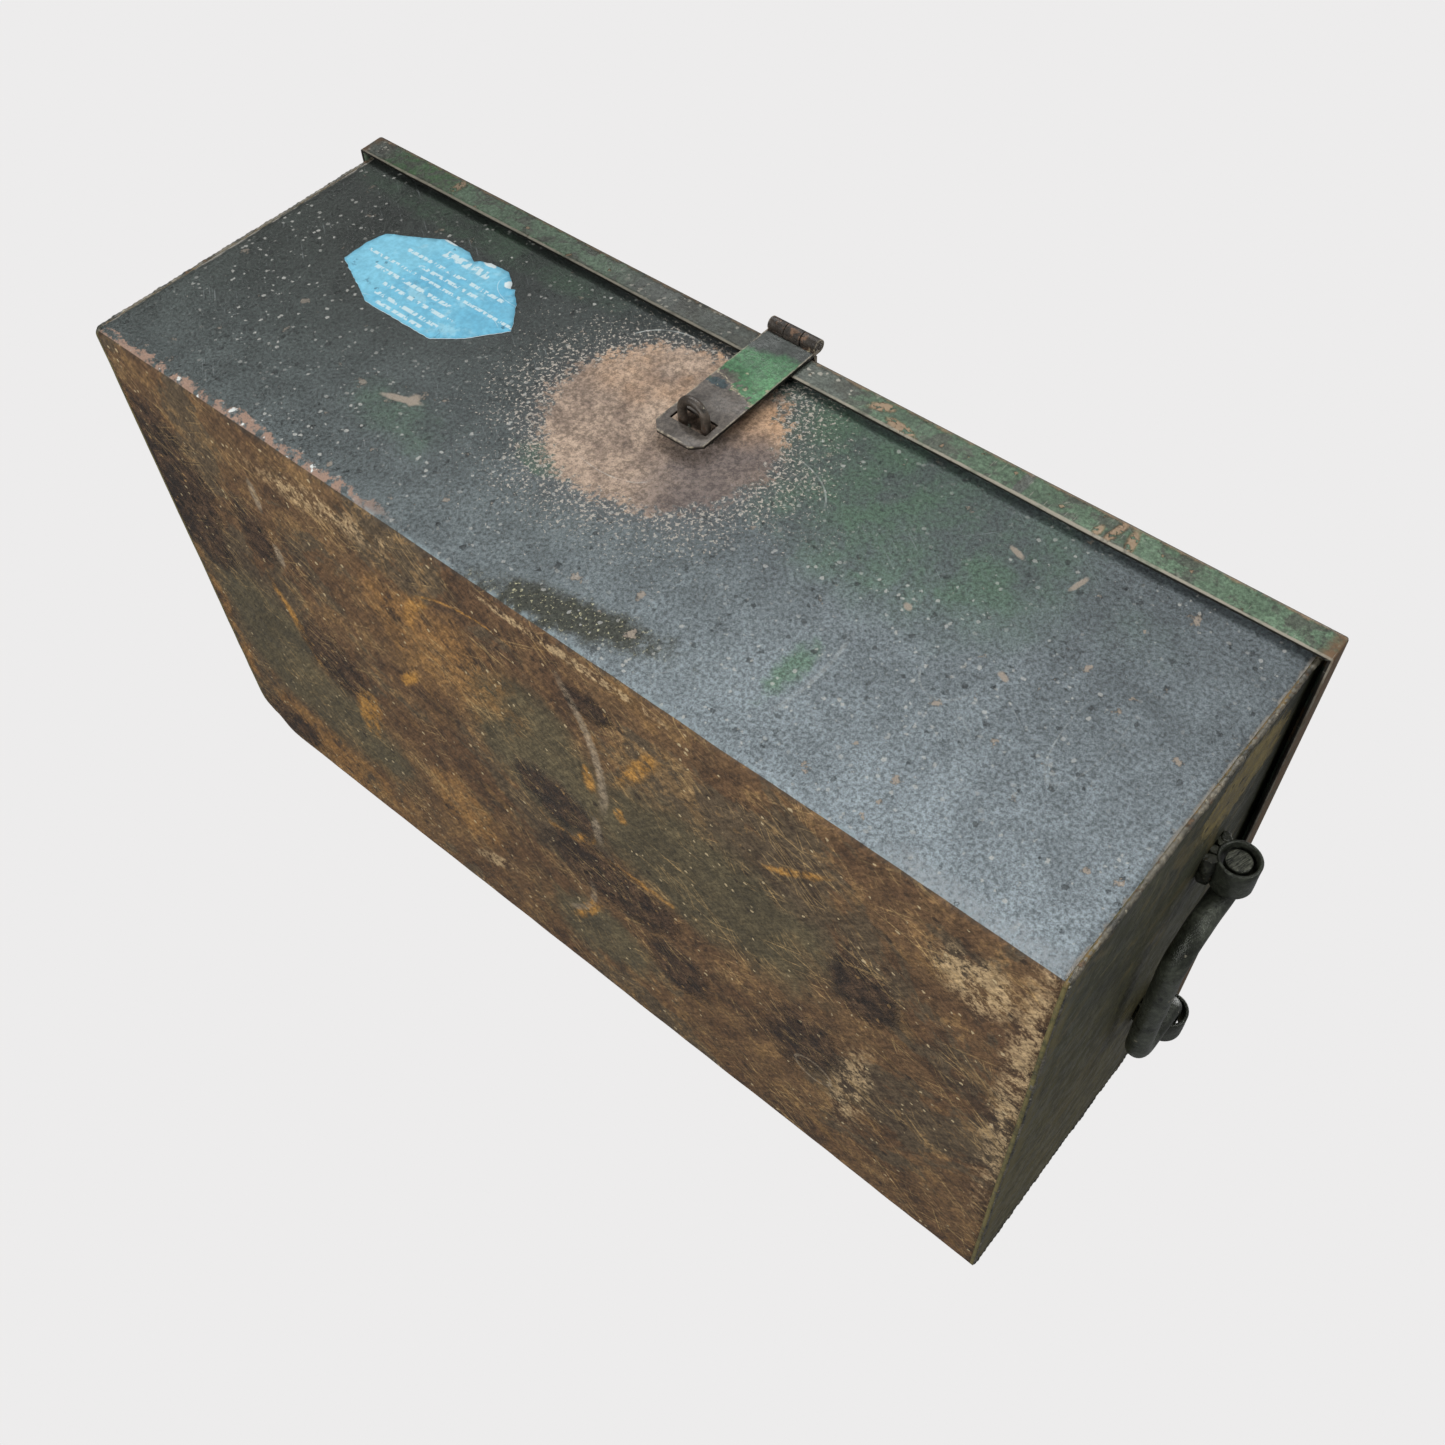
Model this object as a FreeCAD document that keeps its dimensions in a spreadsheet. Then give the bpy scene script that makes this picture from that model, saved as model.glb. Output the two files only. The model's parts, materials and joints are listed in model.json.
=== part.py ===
"""Sheet-steel toolbox with an overlapping hinged lid, a strap hasp, bail handles in pipe eyes
and a half-length tray that slides on two inner rails.

Millimetres.  +X runs to the right along the length, +Y to the hinges at the back, +Z up.
The origin is the middle of the bottom face.  Every size comes from the "dims" spreadsheet.
"""

import FreeCAD, Part

import math
import os

import Sketcher

doc = FreeCAD.newDocument("toolbox")

# -------------------------------------------------------------------------------- dimensions

DIMENSIONS = [
    # folded body
    ("body_length", 610.0, "outside length of the body, over the end plates"),
    ("body_depth", 350.0, "outside depth of the body, front to back"),
    ("body_height", 211.5, "height of the body walls"),
    ("sheet", 2.0, "thickness of the body and lid sheet"),
    ("fold", 4.5, "outside radius of the body's folds"),
    # lid
    ("box_height", 214.0, "height of the lid's top face"),
    ("lid_gap", 3.4, "gap between the body and the lid's rim"),
    ("lid_rim", 18.0, "depth of the lid's rim"),
    ("lid_fold", 3.0, "outside radius of the lid's folds"),
    # handles and their eyes
    ("handle_shift", -5.0, "how far the handles sit from the middle, along Y"),
    ("eye_outer", 10.65, "outside radius of the pipe eyes"),
    ("eye_bore", 8.7, "inside radius of the pipe eyes"),
    ("eye_length", 19.0, "length of each pipe eye"),
    ("eye_inner", 68.0, "distance from a handle's middle to each eye's inner end"),
    ("eye_height", 146.0, "height of the eyes' axis"),
    ("eye_stand", 3.0, "space between an end plate and the pipe, filled by the weld foot"),
    ("foot_width", 13.0, "height of the weld foot under an eye"),
    ("foot_inset", 1.0, "how far the weld foot stops short of the eye's ends"),
    ("rod_radius", 6.35, "radius of the handle rod"),
    ("rod_recess", 2.0, "how far the rod's ends lie inside the eyes"),
    ("leg_offset", 60.0, "distance from a handle's middle to each of its legs"),
    ("handle_drop", 42.0, "distance from the eyes' axis down to the grip"),
    ("elbow", 8.0, "bend radius of the rod beside an eye"),
    ("corner", 22.0, "bend radius of the rod beside the grip"),
    # hinges
    ("hinge_place", 200.0, "distance from the middle to each hinge"),
    ("hinge_width", 60.0, "length of a hinge along X"),
    ("barrel", 5.0, "outside radius of the hinge knuckles"),
    ("pin", 2.5, "radius of the hinge pins"),
    ("leaf", 2.5, "thickness of the hinge leaves"),
    ("hinge_below", 2.0, "how far the hinge axis lies below the lid's rim"),
    ("knuckle_gap", 0.4, "gap between neighbouring knuckles"),
    ("knuckle_room", 0.6, "room between a leaf and the other leaf's knuckles"),
    ("body_leaf_drop", 30.0, "reach of the body leaf below the hinge axis"),
    ("lid_leaf_rise", 18.0, "reach of the lid leaf above the hinge axis"),
    ("pin_fit", 0.05, "radial clearance of every hinge pin in the part that turns on it"),
    ("pin_proud", 1.0, "how far a hinge pin stands out at each end"),
    # hasp and staple
    ("hasp_place", 2.0, "place of the hasp's middle along X"),
    ("hasp_width", 31.5, "width of the hasp strap"),
    ("hasp_sheet", 2.0, "thickness of the strap and of its leaf"),
    ("hasp_barrel", 3.75, "outside radius of the hasp's knuckles"),
    ("hasp_pin", 1.75, "radius of the hasp pin"),
    ("hasp_stand", 0.8, "gap between the lid's rim and the strap"),
    ("hasp_rise", 0.25, "height of the hasp's knuckles above the lid's top face"),
    ("hasp_drop", 95.5, "reach of the strap below the hasp axis"),
    ("hasp_clip", 5.5, "size of the strap's clipped corners"),
    ("hasp_leaf_depth", 32.0, "reach of the fixed leaf behind the hasp axis"),
    ("slot_width", 23.0, "width of the slot in the strap"),
    ("slot_height", 10.0, "height of the slot in the strap"),
    ("staple_height", 138.6, "height of the staple's middle"),
    ("staple_bow", 7.5, "centre-line radius of the staple's bow"),
    ("staple_rod", 2.5, "radius of the staple's rod"),
    ("staple_leg", 12.5, "straight length of the staple's legs"),
    # rails and tray
    ("rail_leg", 15.0, "leg of the angle rails"),
    ("rail_height", 140.0, "height of the rails' top face"),
    ("rail_ends", 1.0, "gap between a rail and the end plates"),
    ("tray_length", 330.0, "length of the tray"),
    ("tray_side", 2.5, "gap between the tray and the front and back walls"),
    ("tray_end", 1.5, "gap between the tray and the left end plate at rest"),
    ("tray_height", 58.0, "height of the tray's walls"),
    ("tray_sheet", 1.5, "thickness of the tray's sheet"),
    ("tray_fold", 3.0, "outside radius of the tray's folds"),
    ("divider_height", 46.0, "height of the tray's dividers"),
    ("divider_foot", 12.0, "width of the dividers' feet"),
    ("divider_place", 56.0, "distance from the tray's middle to each short divider"),
    ("tray_rod", 4.0, "radius of the tray handle's rod"),
    ("tray_grip", 110.0, "distance between the legs of the tray handle"),
    ("tray_grip_rise", 66.0, "height of the tray handle above the rails"),
    ("tray_grip_leg", 44.0, "length of the tray handle's legs"),
    ("tray_corner", 12.0, "bend radius of the tray handle"),
    # label
    ("label_length", 122.0, "length of the label"),
    ("label_width", 66.0, "width of the label"),
    ("label_clip", 24.0, "size of the label's clipped corners"),
    ("label_x", -184.0, "place of the label's middle along X"),
    ("label_z", 139.0, "height of the label's middle"),
    ("label_film", 0.3, "thickness of the label"),
]

cells = doc.addObject("Spreadsheet::Sheet", "dims")
for row, (alias, value, meaning) in enumerate(DIMENSIONS, start=1):
    cells.set(f"A{row}", alias)
    cells.set(f"B{row}", str(value))
    cells.set(f"C{row}", meaning)
    cells.setAlias(f"B{row}", alias)
doc.recompute()

# Lengths and places that several pieces share, as expressions.
HALF_LENGTH = "dims.body_length / 2"
HALF_DEPTH = "dims.body_depth / 2"
INNER_X = f"({HALF_LENGTH} - dims.sheet)"
INNER_Y = f"({HALF_DEPTH} - dims.sheet)"
LID_X = f"({HALF_LENGTH} + dims.lid_gap + dims.sheet)"
LID_Y = f"({HALF_DEPTH} + dims.lid_gap + dims.sheet)"
RIM_LOW = "(dims.box_height - dims.lid_rim)"
HINGE_Y = f"({LID_Y} + dims.barrel)"
HINGE_Z = f"({RIM_LOW} - dims.hinge_below)"
HASP_Y = f"(-{LID_Y} - dims.hasp_stand - dims.hasp_barrel)"
HASP_Z = "(dims.box_height + dims.hasp_barrel + dims.hasp_rise)"
EYE_X = f"({HALF_LENGTH} + dims.eye_stand + dims.eye_outer)"
TRAY_X = f"(-{INNER_X} + dims.tray_end + dims.tray_length / 2)"
TRAY_Y = f"({INNER_Y} - dims.tray_side)"
TRAY_FLOOR = "(dims.rail_height + dims.tray_sheet)"
GRIP_Z = "(dims.rail_height + dims.tray_grip_rise)"

# ----------------------------------------------------------------------------------- helpers


def number(expression):
    """What an expression comes to with the sheet's present values."""
    return float(cells.evalExpression(expression))


def bind(item, **expressions):
    """Binds an object's properties to expressions."""
    for name, expression in expressions.items():
        item.setExpression(name, expression)
    return item


def place(item, *position):
    """Binds an object's position to three expressions."""
    for axis, expression in zip("xyz", position):
        item.setExpression(f"Placement.Base.{axis}", expression)
    return item


def block(name, low, lengths):
    """A Part box from its low corner and its three lengths."""
    item = doc.addObject("Part::Box", name)
    bind(item, Length=lengths[0], Width=lengths[1], Height=lengths[2])
    return place(item, *low)


def rod(name, along, start, radius, length):
    """A Part cylinder from its first end, along +X or +Y."""
    turns = {"X": (FreeCAD.Vector(0, 1, 0), 90), "Y": (FreeCAD.Vector(1, 0, 0), -90)}
    item = doc.addObject("Part::Cylinder", name)
    item.Placement = FreeCAD.Placement(FreeCAD.Vector(), FreeCAD.Rotation(*turns[along]))
    bind(item, Radius=radius, Height=length)
    return place(item, *start)


def fused(name, items):
    item = doc.addObject("Part::MultiFuse", name)
    item.Shapes = items
    item.Refine = True
    return item


def cut(name, base, tool):
    item = doc.addObject("Part::Cut", name)
    item.Base = base
    item.Tool = tool
    item.Refine = True
    return item


def sketch_on(body, name, plane, height="0"):
    """An empty sketch on one of the body's origin planes, raised along the plane's normal."""
    sketch = body.newObject("Sketcher::SketchObject", name)
    origin = [feature for feature in body.Origin.OriginFeatures if feature.Role == plane][0]
    sketch.AttachmentSupport = [(origin, "")]
    sketch.MapMode = "FlatFace"
    sketch.setExpression("AttachmentOffset.Base.z", height)
    doc.recompute()
    return sketch


def hold(sketch, kind, *where, expression):
    """Adds a dimension to a sketch and binds it to an expression."""
    index = sketch.addConstraint(Sketcher.Constraint(kind, *where, number(expression)))
    sketch.setExpression(f"Constraints[{index}]", expression)


def outline(sketch, corners):
    """Closes a loop of straight lines through corners, each a pair of expressions."""
    points = [FreeCAD.Vector(number(across), number(up), 0) for across, up in corners]
    first = sketch.GeometryCount
    for start, end in zip(points, points[1:] + points[:1]):
        sketch.addGeometry(Part.LineSegment(start, end), False)
    count = len(corners)
    for i, (across, up) in enumerate(corners):
        joined = first + (i - 1) % count
        sketch.addConstraint(Sketcher.Constraint("Coincident", joined, 2, first + i, 1))
        hold(sketch, "DistanceX", -1, 1, first + i, 1, expression=across)
        hold(sketch, "DistanceY", -1, 1, first + i, 1, expression=up)


def rectangle(sketch, low_x, low_y, high_x, high_y):
    outline(sketch, [(low_x, low_y), (high_x, low_y), (high_x, high_y), (low_x, high_y)])


def circle(sketch, across, up, radius):
    centre = FreeCAD.Vector(number(across), number(up), 0)
    index = sketch.addGeometry(
        Part.Circle(centre, FreeCAD.Vector(0, 0, 1), number(radius)), False
    )
    hold(sketch, "DistanceX", -1, 1, index, 3, expression=across)
    hold(sketch, "DistanceY", -1, 1, index, 3, expression=up)
    hold(sketch, "Radius", index, expression=radius)


def pad(body, name, sketch, length, midplane=False):
    feature = body.newObject("PartDesign::Pad", name)
    feature.Profile = sketch
    feature.Midplane = midplane
    feature.setExpression("Length", length)
    doc.recompute()
    return feature


def pocket(body, name, sketch, depth, reverse=False):
    """A pocket, which has to take material away; reversed, it runs along the sketch's normal."""
    before = body.Shape.Volume
    feature = body.newObject("PartDesign::Pocket", name)
    feature.Profile = sketch
    feature.Reversed = reverse
    feature.setExpression("Length", depth)
    doc.recompute()
    if body.Shape.Volume > before - 1:
        raise RuntimeError(f"{name} cuts nothing")
    return feature


def round_edges(body, name, chosen, radius):
    """A fillet on the straight edges that a test of their middle and direction picks."""
    picked = []
    for index, edge in enumerate(body.Tip.Shape.Edges, start=1):
        if len(edge.Vertexes) == 2 and isinstance(edge.Curve, Part.Line):
            run = (edge.Vertexes[1].Point - edge.Vertexes[0].Point).normalize()
            if chosen(edge.CenterOfMass, run):
                picked.append(f"Edge{index}")
    if not picked:
        raise RuntimeError(f"{name} finds no edge")
    feature = body.newObject("PartDesign::Fillet", name)
    feature.Base = (feature.BaseFeature, picked)
    feature.setExpression("Radius", radius)
    doc.recompute()
    return feature


def near(value, expression):
    return abs(value - number(expression)) < 0.01


def bent_rod(body, name, path_plane, path_height, corners, bends, section_plane, section_height):
    """Sweeps a round section along level and upright runs that tangent arcs join.

    corners are pairs of expressions in the path's plane; bends are the arcs' radii.
    Returns the path's sketch and the section's sketch; the caller draws the section.
    """
    path = sketch_on(body, f"{name}_path", path_plane, path_height)
    points = [FreeCAD.Vector(number(across), number(up), 0) for across, up in corners]
    starts = [points[0]]
    ends = []
    arcs = []
    for before, turn, after, bend in zip(points, points[1:], points[2:], bends):
        back = (before - turn).normalize()
        ahead = (after - turn).normalize()
        radius = number(bend)
        centre = turn + (back + ahead) * radius
        ends.append(turn + back * radius)
        starts.append(turn + ahead * radius)
        arcs.append((centre, radius, back.cross(ahead).z > 0))
    ends.append(points[-1])
    for start, end in zip(starts, ends):
        path.addGeometry(Part.LineSegment(start, end), False)
    for i, (centre, radius, clockwise) in enumerate(arcs):
        first, last = (starts[i + 1], ends[i]) if clockwise else (ends[i], starts[i + 1])
        angles = [math.atan2((p - centre).y, (p - centre).x) for p in (first, last)]
        ring = Part.Circle(centre, FreeCAD.Vector(0, 0, 1), radius)
        arc = path.addGeometry(Part.ArcOfCircle(ring, *angles), False)
        arc_in, arc_out = (2, 1) if clockwise else (1, 2)
        path.addConstraint(Sketcher.Constraint("Tangent", i, 2, arc, arc_in))
        path.addConstraint(Sketcher.Constraint("Tangent", arc, arc_out, i + 1, 1))
        hold(path, "Radius", arc, expression=bends[i])
    for i, (start, end) in enumerate(zip(starts, ends)):
        level = abs(end.y - start.y) < 0.001
        path.addConstraint(Sketcher.Constraint("Horizontal" if level else "Vertical", i))
        kind, expression = ("DistanceY", corners[i][1]) if level else ("DistanceX", corners[i][0])
        hold(path, kind, -1, 1, i, 1, expression=expression)
    for run, end, corner in ((0, 1, corners[0]), (len(starts) - 1, 2, corners[-1])):
        level = abs(ends[run].y - starts[run].y) < 0.001
        kind, expression = ("DistanceX", corner[0]) if level else ("DistanceY", corner[1])
        hold(path, kind, -1, 1, run, end, expression=expression)
    section = sketch_on(body, f"{name}_section", section_plane, section_height)
    return path, section


def sweep(body, name, path, section):
    doc.recompute()
    feature = body.newObject("PartDesign::AdditivePipe", name)
    feature.Profile = section
    feature.Spine = (path, [])
    doc.recompute()
    return feature

# ------------------------------------------------------------------------------------- body


def make_tub():
    """One sheet folded into the front wall, the bottom and the back wall."""
    body = doc.addObject("PartDesign::Body", "body_tub")
    profile = sketch_on(body, "tub_profile", "YZ_Plane")
    outline(
        profile,
        [
            (f"-{HALF_DEPTH}", "0"),
            (HALF_DEPTH, "0"),
            (HALF_DEPTH, "dims.body_height"),
            (INNER_Y, "dims.body_height"),
            (INNER_Y, "dims.sheet"),
            (f"-{INNER_Y}", "dims.sheet"),
            (f"-{INNER_Y}", "dims.body_height"),
            (f"-{HALF_DEPTH}", "dims.body_height"),
        ],
    )
    pad(body, "tub_sheet", profile, f"2 * {INNER_X}", midplane=True)
    round_edges(
        body,
        "tub_folds_inside",
        lambda middle, run: near(middle.z, "dims.sheet") and abs(run.x) > 0.9,
        "dims.fold - dims.sheet",
    )
    round_edges(
        body,
        "tub_folds_outside",
        lambda middle, run: near(middle.z, "0") and abs(run.x) > 0.9,
        "dims.fold",
    )
    return body


def make_end_panel(side, sign):
    """A flat plate welded over the tub's open end."""
    body = doc.addObject("PartDesign::Body", f"end_panel_{side}")
    low = INNER_X if sign > 0 else f"-{HALF_LENGTH}"
    face = sketch_on(body, f"end_{side}_face", "YZ_Plane", low)
    rectangle(face, f"-{HALF_DEPTH}", "0", HALF_DEPTH, "dims.body_height")
    pad(body, f"end_{side}_sheet", face, "dims.sheet")
    round_edges(
        body,
        f"end_{side}_corners",
        lambda middle, run: near(middle.z, "0") and abs(run.x) > 0.9,
        "dims.fold",
    )
    return body


def make_staple():
    """Two straight legs and a half-round bow, bent from one rod."""
    legs = []
    for leg, sign in (("left", "-"), ("right", "+")):
        start = (
            f"dims.hasp_place {sign} dims.staple_bow",
            f"-{HALF_DEPTH} - dims.staple_leg",
            "dims.staple_height",
        )
        legs.append(rod(f"staple_{leg}", "Y", start, "dims.staple_rod", "dims.staple_leg"))
    bow = doc.addObject("Part::Torus", "staple_bow")
    half_turn = FreeCAD.Rotation(FreeCAD.Vector(0, 0, 1), 180)
    bow.Placement = FreeCAD.Placement(FreeCAD.Vector(), half_turn)
    bow.Angle3 = 180
    bind(bow, Radius1="dims.staple_bow", Radius2="dims.staple_rod")
    place(
        bow,
        "dims.hasp_place",
        f"-{HALF_DEPTH} - dims.staple_leg",
        "dims.staple_height",
    )
    return fused("hasp_staple", legs + [bow])


def make_eye(side, sign, end):
    """A short piece of pipe on a weld foot, in which one end of a handle turns."""
    name = f"handle_eye_{side}_{end}"
    if end == "back":
        start = "(dims.handle_shift + dims.eye_inner)"
    else:
        start = "(dims.handle_shift - dims.eye_inner - dims.eye_length)"
    centre = EYE_X if sign > 0 else f"(-{EYE_X})"
    low = HALF_LENGTH if sign > 0 else f"-{EYE_X}"
    pipe = rod(
        f"{name}_pipe", "Y", (centre, start, "dims.eye_height"), "dims.eye_outer", "dims.eye_length"
    )
    foot = block(
        f"{name}_foot",
        (low, f"{start} + dims.foot_inset", "dims.eye_height - dims.foot_width / 2"),
        (
            "dims.eye_stand + dims.eye_outer",
            "dims.eye_length - 2 * dims.foot_inset",
            "dims.foot_width",
        ),
    )
    bore = rod(
        f"{name}_bore", "Y", (centre, start, "dims.eye_height"), "dims.eye_bore", "dims.eye_length"
    )
    return cut(name, fused(f"{name}_solid", [pipe, foot]), bore)


def make_rail(end, sign):
    """An angle along the front or back wall, its level leg on top and turned inwards."""
    body = doc.addObject("PartDesign::Body", f"tray_rail_{end}")
    profile = sketch_on(body, f"rail_{end}_profile", "YZ_Plane")
    wall = f"{sign} * {INNER_Y}"
    skin = f"{sign} * ({INNER_Y} - dims.sheet)"
    lip = f"{sign} * ({INNER_Y} - dims.rail_leg)"
    low = "dims.rail_height - dims.rail_leg"
    under = "dims.rail_height - dims.sheet"
    outline(
        profile,
        [
            (wall, low),
            (skin, low),
            (skin, under),
            (lip, under),
            (lip, "dims.rail_height"),
            (wall, "dims.rail_height"),
        ],
    )
    pad(body, f"rail_{end}_angle", profile, f"2 * ({INNER_X} - dims.rail_ends)", midplane=True)
    return body


def make_spacer(side, sign):
    """A flat bar on the back wall that carries a hinge out to the lid's rim."""
    name = f"hinge_spacer_{side}"
    low = (
        f"{sign} * dims.hinge_place - dims.hinge_width / 2",
        HALF_DEPTH,
        f"{HINGE_Z} - dims.body_leaf_drop",
    )
    lengths = (
        "dims.hinge_width",
        f"{LID_Y} - {HALF_DEPTH}",
        "dims.body_leaf_drop - dims.barrel + dims.knuckle_room",
    )
    return block(name, low, lengths)


# ------------------------------------------------------------------------------------ hinges

KNUCKLES = 5


def make_hinge_leaf(part, side, sign):
    """A leaf and its knuckles; the body's leaf has the odd knuckles, the lid's the even."""
    name = f"hinge_leaf_{part}_{side}"
    left = f"({sign} * dims.hinge_place - dims.hinge_width / 2)"
    drop = "dims.body_leaf_drop" if part == "body" else "0"
    reach = "dims.body_leaf_drop" if part == "body" else "dims.lid_leaf_rise"
    plate = block(
        f"{name}_plate", (left, LID_Y, f"{HINGE_Z} - {drop}"), ("dims.hinge_width", "dims.leaf", reach)
    )
    barrel = rod(
        f"{name}_barrel", "X", (left, HINGE_Y, HINGE_Z), "dims.barrel", "dims.hinge_width"
    )
    room = "(dims.barrel + dims.knuckle_room)"
    pitch = f"(dims.hinge_width / {KNUCKLES})"
    tools = []
    for knuckle in range(KNUCKLES):
        own = (knuckle % 2 == 0) == (part == "body")
        if own:
            continue
        first = knuckle == 0
        last = knuckle == KNUCKLES - 1
        low = f"{left} + {knuckle} * {pitch}" + ("" if first else " - dims.knuckle_gap / 2")
        width = pitch + ("" if first else " + dims.knuckle_gap / 2")
        width += "" if last else " + dims.knuckle_gap / 2"
        tools.append(
            block(
                f"{name}_gap{knuckle}",
                (low, f"{HINGE_Y} - {room}", f"{HINGE_Z} - {room}"),
                (width, f"2 * {room}", f"2 * {room}"),
            )
        )
    bore_radius = "dims.pin + dims.pin_fit" if part == "body" else "dims.pin"
    tools.append(rod(f"{name}_bore", "X", (left, HINGE_Y, HINGE_Z), bore_radius, "dims.hinge_width"))
    return cut(name, fused(f"{name}_solid", [plate, barrel]), fused(f"{name}_tools", tools))


def make_hinge_pin(side, sign):
    left = f"{sign} * dims.hinge_place - dims.hinge_width / 2 - dims.pin_proud"
    length = "dims.hinge_width + 2 * dims.pin_proud"
    return rod(f"hinge_pin_{side}", "X", (left, HINGE_Y, HINGE_Z), "dims.pin", length)


# --------------------------------------------------------------------------------------- lid


def make_lid():
    """A shallow pan, upside down, whose rim laps over the body on all four sides."""
    body = doc.addObject("PartDesign::Body", "lid_panel")
    face = sketch_on(body, "lid_face", "XY_Plane", RIM_LOW)
    rectangle(face, f"-{LID_X}", f"-{LID_Y}", LID_X, LID_Y)
    pad(body, "lid_block", face, "dims.lid_rim")
    round_edges(
        body,
        "lid_folds_outside",
        lambda middle, run: near(middle.z, "dims.box_height"),
        "dims.lid_fold",
    )
    hollow = sketch_on(body, "lid_hollow", "XY_Plane", "dims.box_height - dims.sheet")
    inside_x = f"({LID_X} - dims.sheet)"
    inside_y = f"({LID_Y} - dims.sheet)"
    rectangle(hollow, f"-{inside_x}", f"-{inside_y}", inside_x, inside_y)
    pocket(body, "lid_inside", hollow, "dims.lid_rim - dims.sheet")
    round_edges(
        body,
        "lid_folds_inside",
        lambda middle, run: near(middle.z, "dims.box_height - dims.sheet") and abs(run.z) < 0.1,
        "dims.lid_fold - dims.sheet",
    )
    return body


def make_hasp_leaf():
    """The plate on the lid's top with the hasp's middle knuckle."""
    third = "(dims.hasp_width / 3)"
    plate = block(
        "hasp_leaf_plate",
        (
            "dims.hasp_place - dims.hasp_width / 2",
            f"-{LID_Y}",
            "dims.box_height",
        ),
        (
            "dims.hasp_width",
            "dims.hasp_leaf_depth - dims.hasp_stand - dims.hasp_barrel",
            "dims.hasp_sheet",
        ),
    )
    tongue = block(
        "hasp_leaf_tongue",
        (
            f"dims.hasp_place - {third} / 2 + dims.knuckle_gap / 2",
            HASP_Y,
            "dims.box_height",
        ),
        (f"{third} - dims.knuckle_gap", "2 * dims.hasp_barrel", "dims.hasp_sheet"),
    )
    knuckle = rod(
        "hasp_leaf_knuckle",
        "X",
        (f"dims.hasp_place - {third} / 2 + dims.knuckle_gap / 2", HASP_Y, HASP_Z),
        "dims.hasp_barrel",
        f"{third} - dims.knuckle_gap",
    )
    bore = rod(
        "hasp_leaf_bore",
        "X",
        (f"dims.hasp_place - {third} / 2", HASP_Y, HASP_Z),
        "dims.hasp_pin",
        third,
    )
    return cut("hasp_leaf", fused("hasp_leaf_solid", [plate, tongue, knuckle]), bore)


def make_hasp_pin():
    left = "dims.hasp_place - dims.hasp_width / 2"
    return rod("hasp_pin", "X", (left, HASP_Y, HASP_Z), "dims.hasp_pin", "dims.hasp_width")


def make_hasp_strap():
    """The swinging strap: two knuckles, clipped lower corners and the staple's slot."""
    third = "(dims.hasp_width / 3)"
    left = "(dims.hasp_place - dims.hasp_width / 2)"
    right = "(dims.hasp_place + dims.hasp_width / 2)"
    low = f"({HASP_Z} - dims.hasp_drop)"
    body = doc.addObject("PartDesign::Body", "hasp_strap")
    back = f"{LID_Y} + dims.hasp_stand"
    plate = sketch_on(body, "strap_plate", "XZ_Plane", back)
    outline(
        plate,
        [
            (f"{left} + dims.hasp_clip", low),
            (f"{right} - dims.hasp_clip", low),
            (right, f"{low} + dims.hasp_clip"),
            (right, HASP_Z),
            (left, HASP_Z),
            (left, f"{low} + dims.hasp_clip"),
        ],
    )
    pad(body, "strap_sheet", plate, "dims.hasp_sheet")
    roll = sketch_on(body, "strap_roll", "YZ_Plane", left)
    circle(roll, HASP_Y, HASP_Z, "dims.hasp_barrel")
    pad(body, "strap_barrel", roll, "dims.hasp_width")
    middle = sketch_on(body, "strap_middle", "XZ_Plane", f"-({HASP_Y} + dims.hasp_barrel + 1)")
    room = "(dims.hasp_barrel + dims.knuckle_room)"
    rectangle(
        middle,
        f"dims.hasp_place - {third} / 2 - dims.knuckle_gap / 2",
        f"{HASP_Z} - {room}",
        f"dims.hasp_place + {third} / 2 + dims.knuckle_gap / 2",
        f"{HASP_Z} + {room}",
    )
    pocket(body, "strap_knuckle_gap", middle, "2 * dims.hasp_barrel + 2", reverse=True)
    slot = sketch_on(body, "strap_slot", "XZ_Plane", back)
    rectangle(
        slot,
        "dims.hasp_place - dims.slot_width / 2",
        "dims.staple_height - dims.slot_height / 2",
        "dims.hasp_place + dims.slot_width / 2",
        "dims.staple_height + dims.slot_height / 2",
    )
    pocket(body, "strap_slot_cut", slot, "dims.hasp_sheet", reverse=True)
    bore = sketch_on(body, "strap_bore", "YZ_Plane", left)
    circle(bore, HASP_Y, HASP_Z, "dims.hasp_pin + dims.pin_fit")
    pocket(body, "strap_bore_cut", bore, "dims.hasp_width", reverse=True)
    return body


# ----------------------------------------------------------------------------------- handles


def make_handle(side, sign):
    """One bent rod: two ends that point outwards into the eyes, two legs and a grip."""
    body = doc.addObject("PartDesign::Body", f"handle_{side}")
    end = "(dims.eye_inner + dims.eye_length - dims.rod_recess)"
    low = "dims.eye_height - dims.handle_drop"
    front = "dims.handle_shift - "
    back = "dims.handle_shift + "
    corners = [
        (front + end, "dims.eye_height"),
        (front + "dims.leg_offset", "dims.eye_height"),
        (front + "dims.leg_offset", low),
        (back + "dims.leg_offset", low),
        (back + "dims.leg_offset", "dims.eye_height"),
        (back + end, "dims.eye_height"),
    ]
    bends = ["dims.elbow", "dims.corner", "dims.corner", "dims.elbow"]
    centre = EYE_X if sign > 0 else f"-{EYE_X}"
    start = f"-({corners[0][0]})"
    path, section = bent_rod(
        body, f"handle_{side}", "YZ_Plane", centre, corners, bends, "XZ_Plane", start
    )
    circle(section, centre, "dims.eye_height", "dims.rod_radius")
    sweep(body, f"handle_{side}_rod", path, section)
    return body


# -------------------------------------------------------------------------------------- tray


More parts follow.
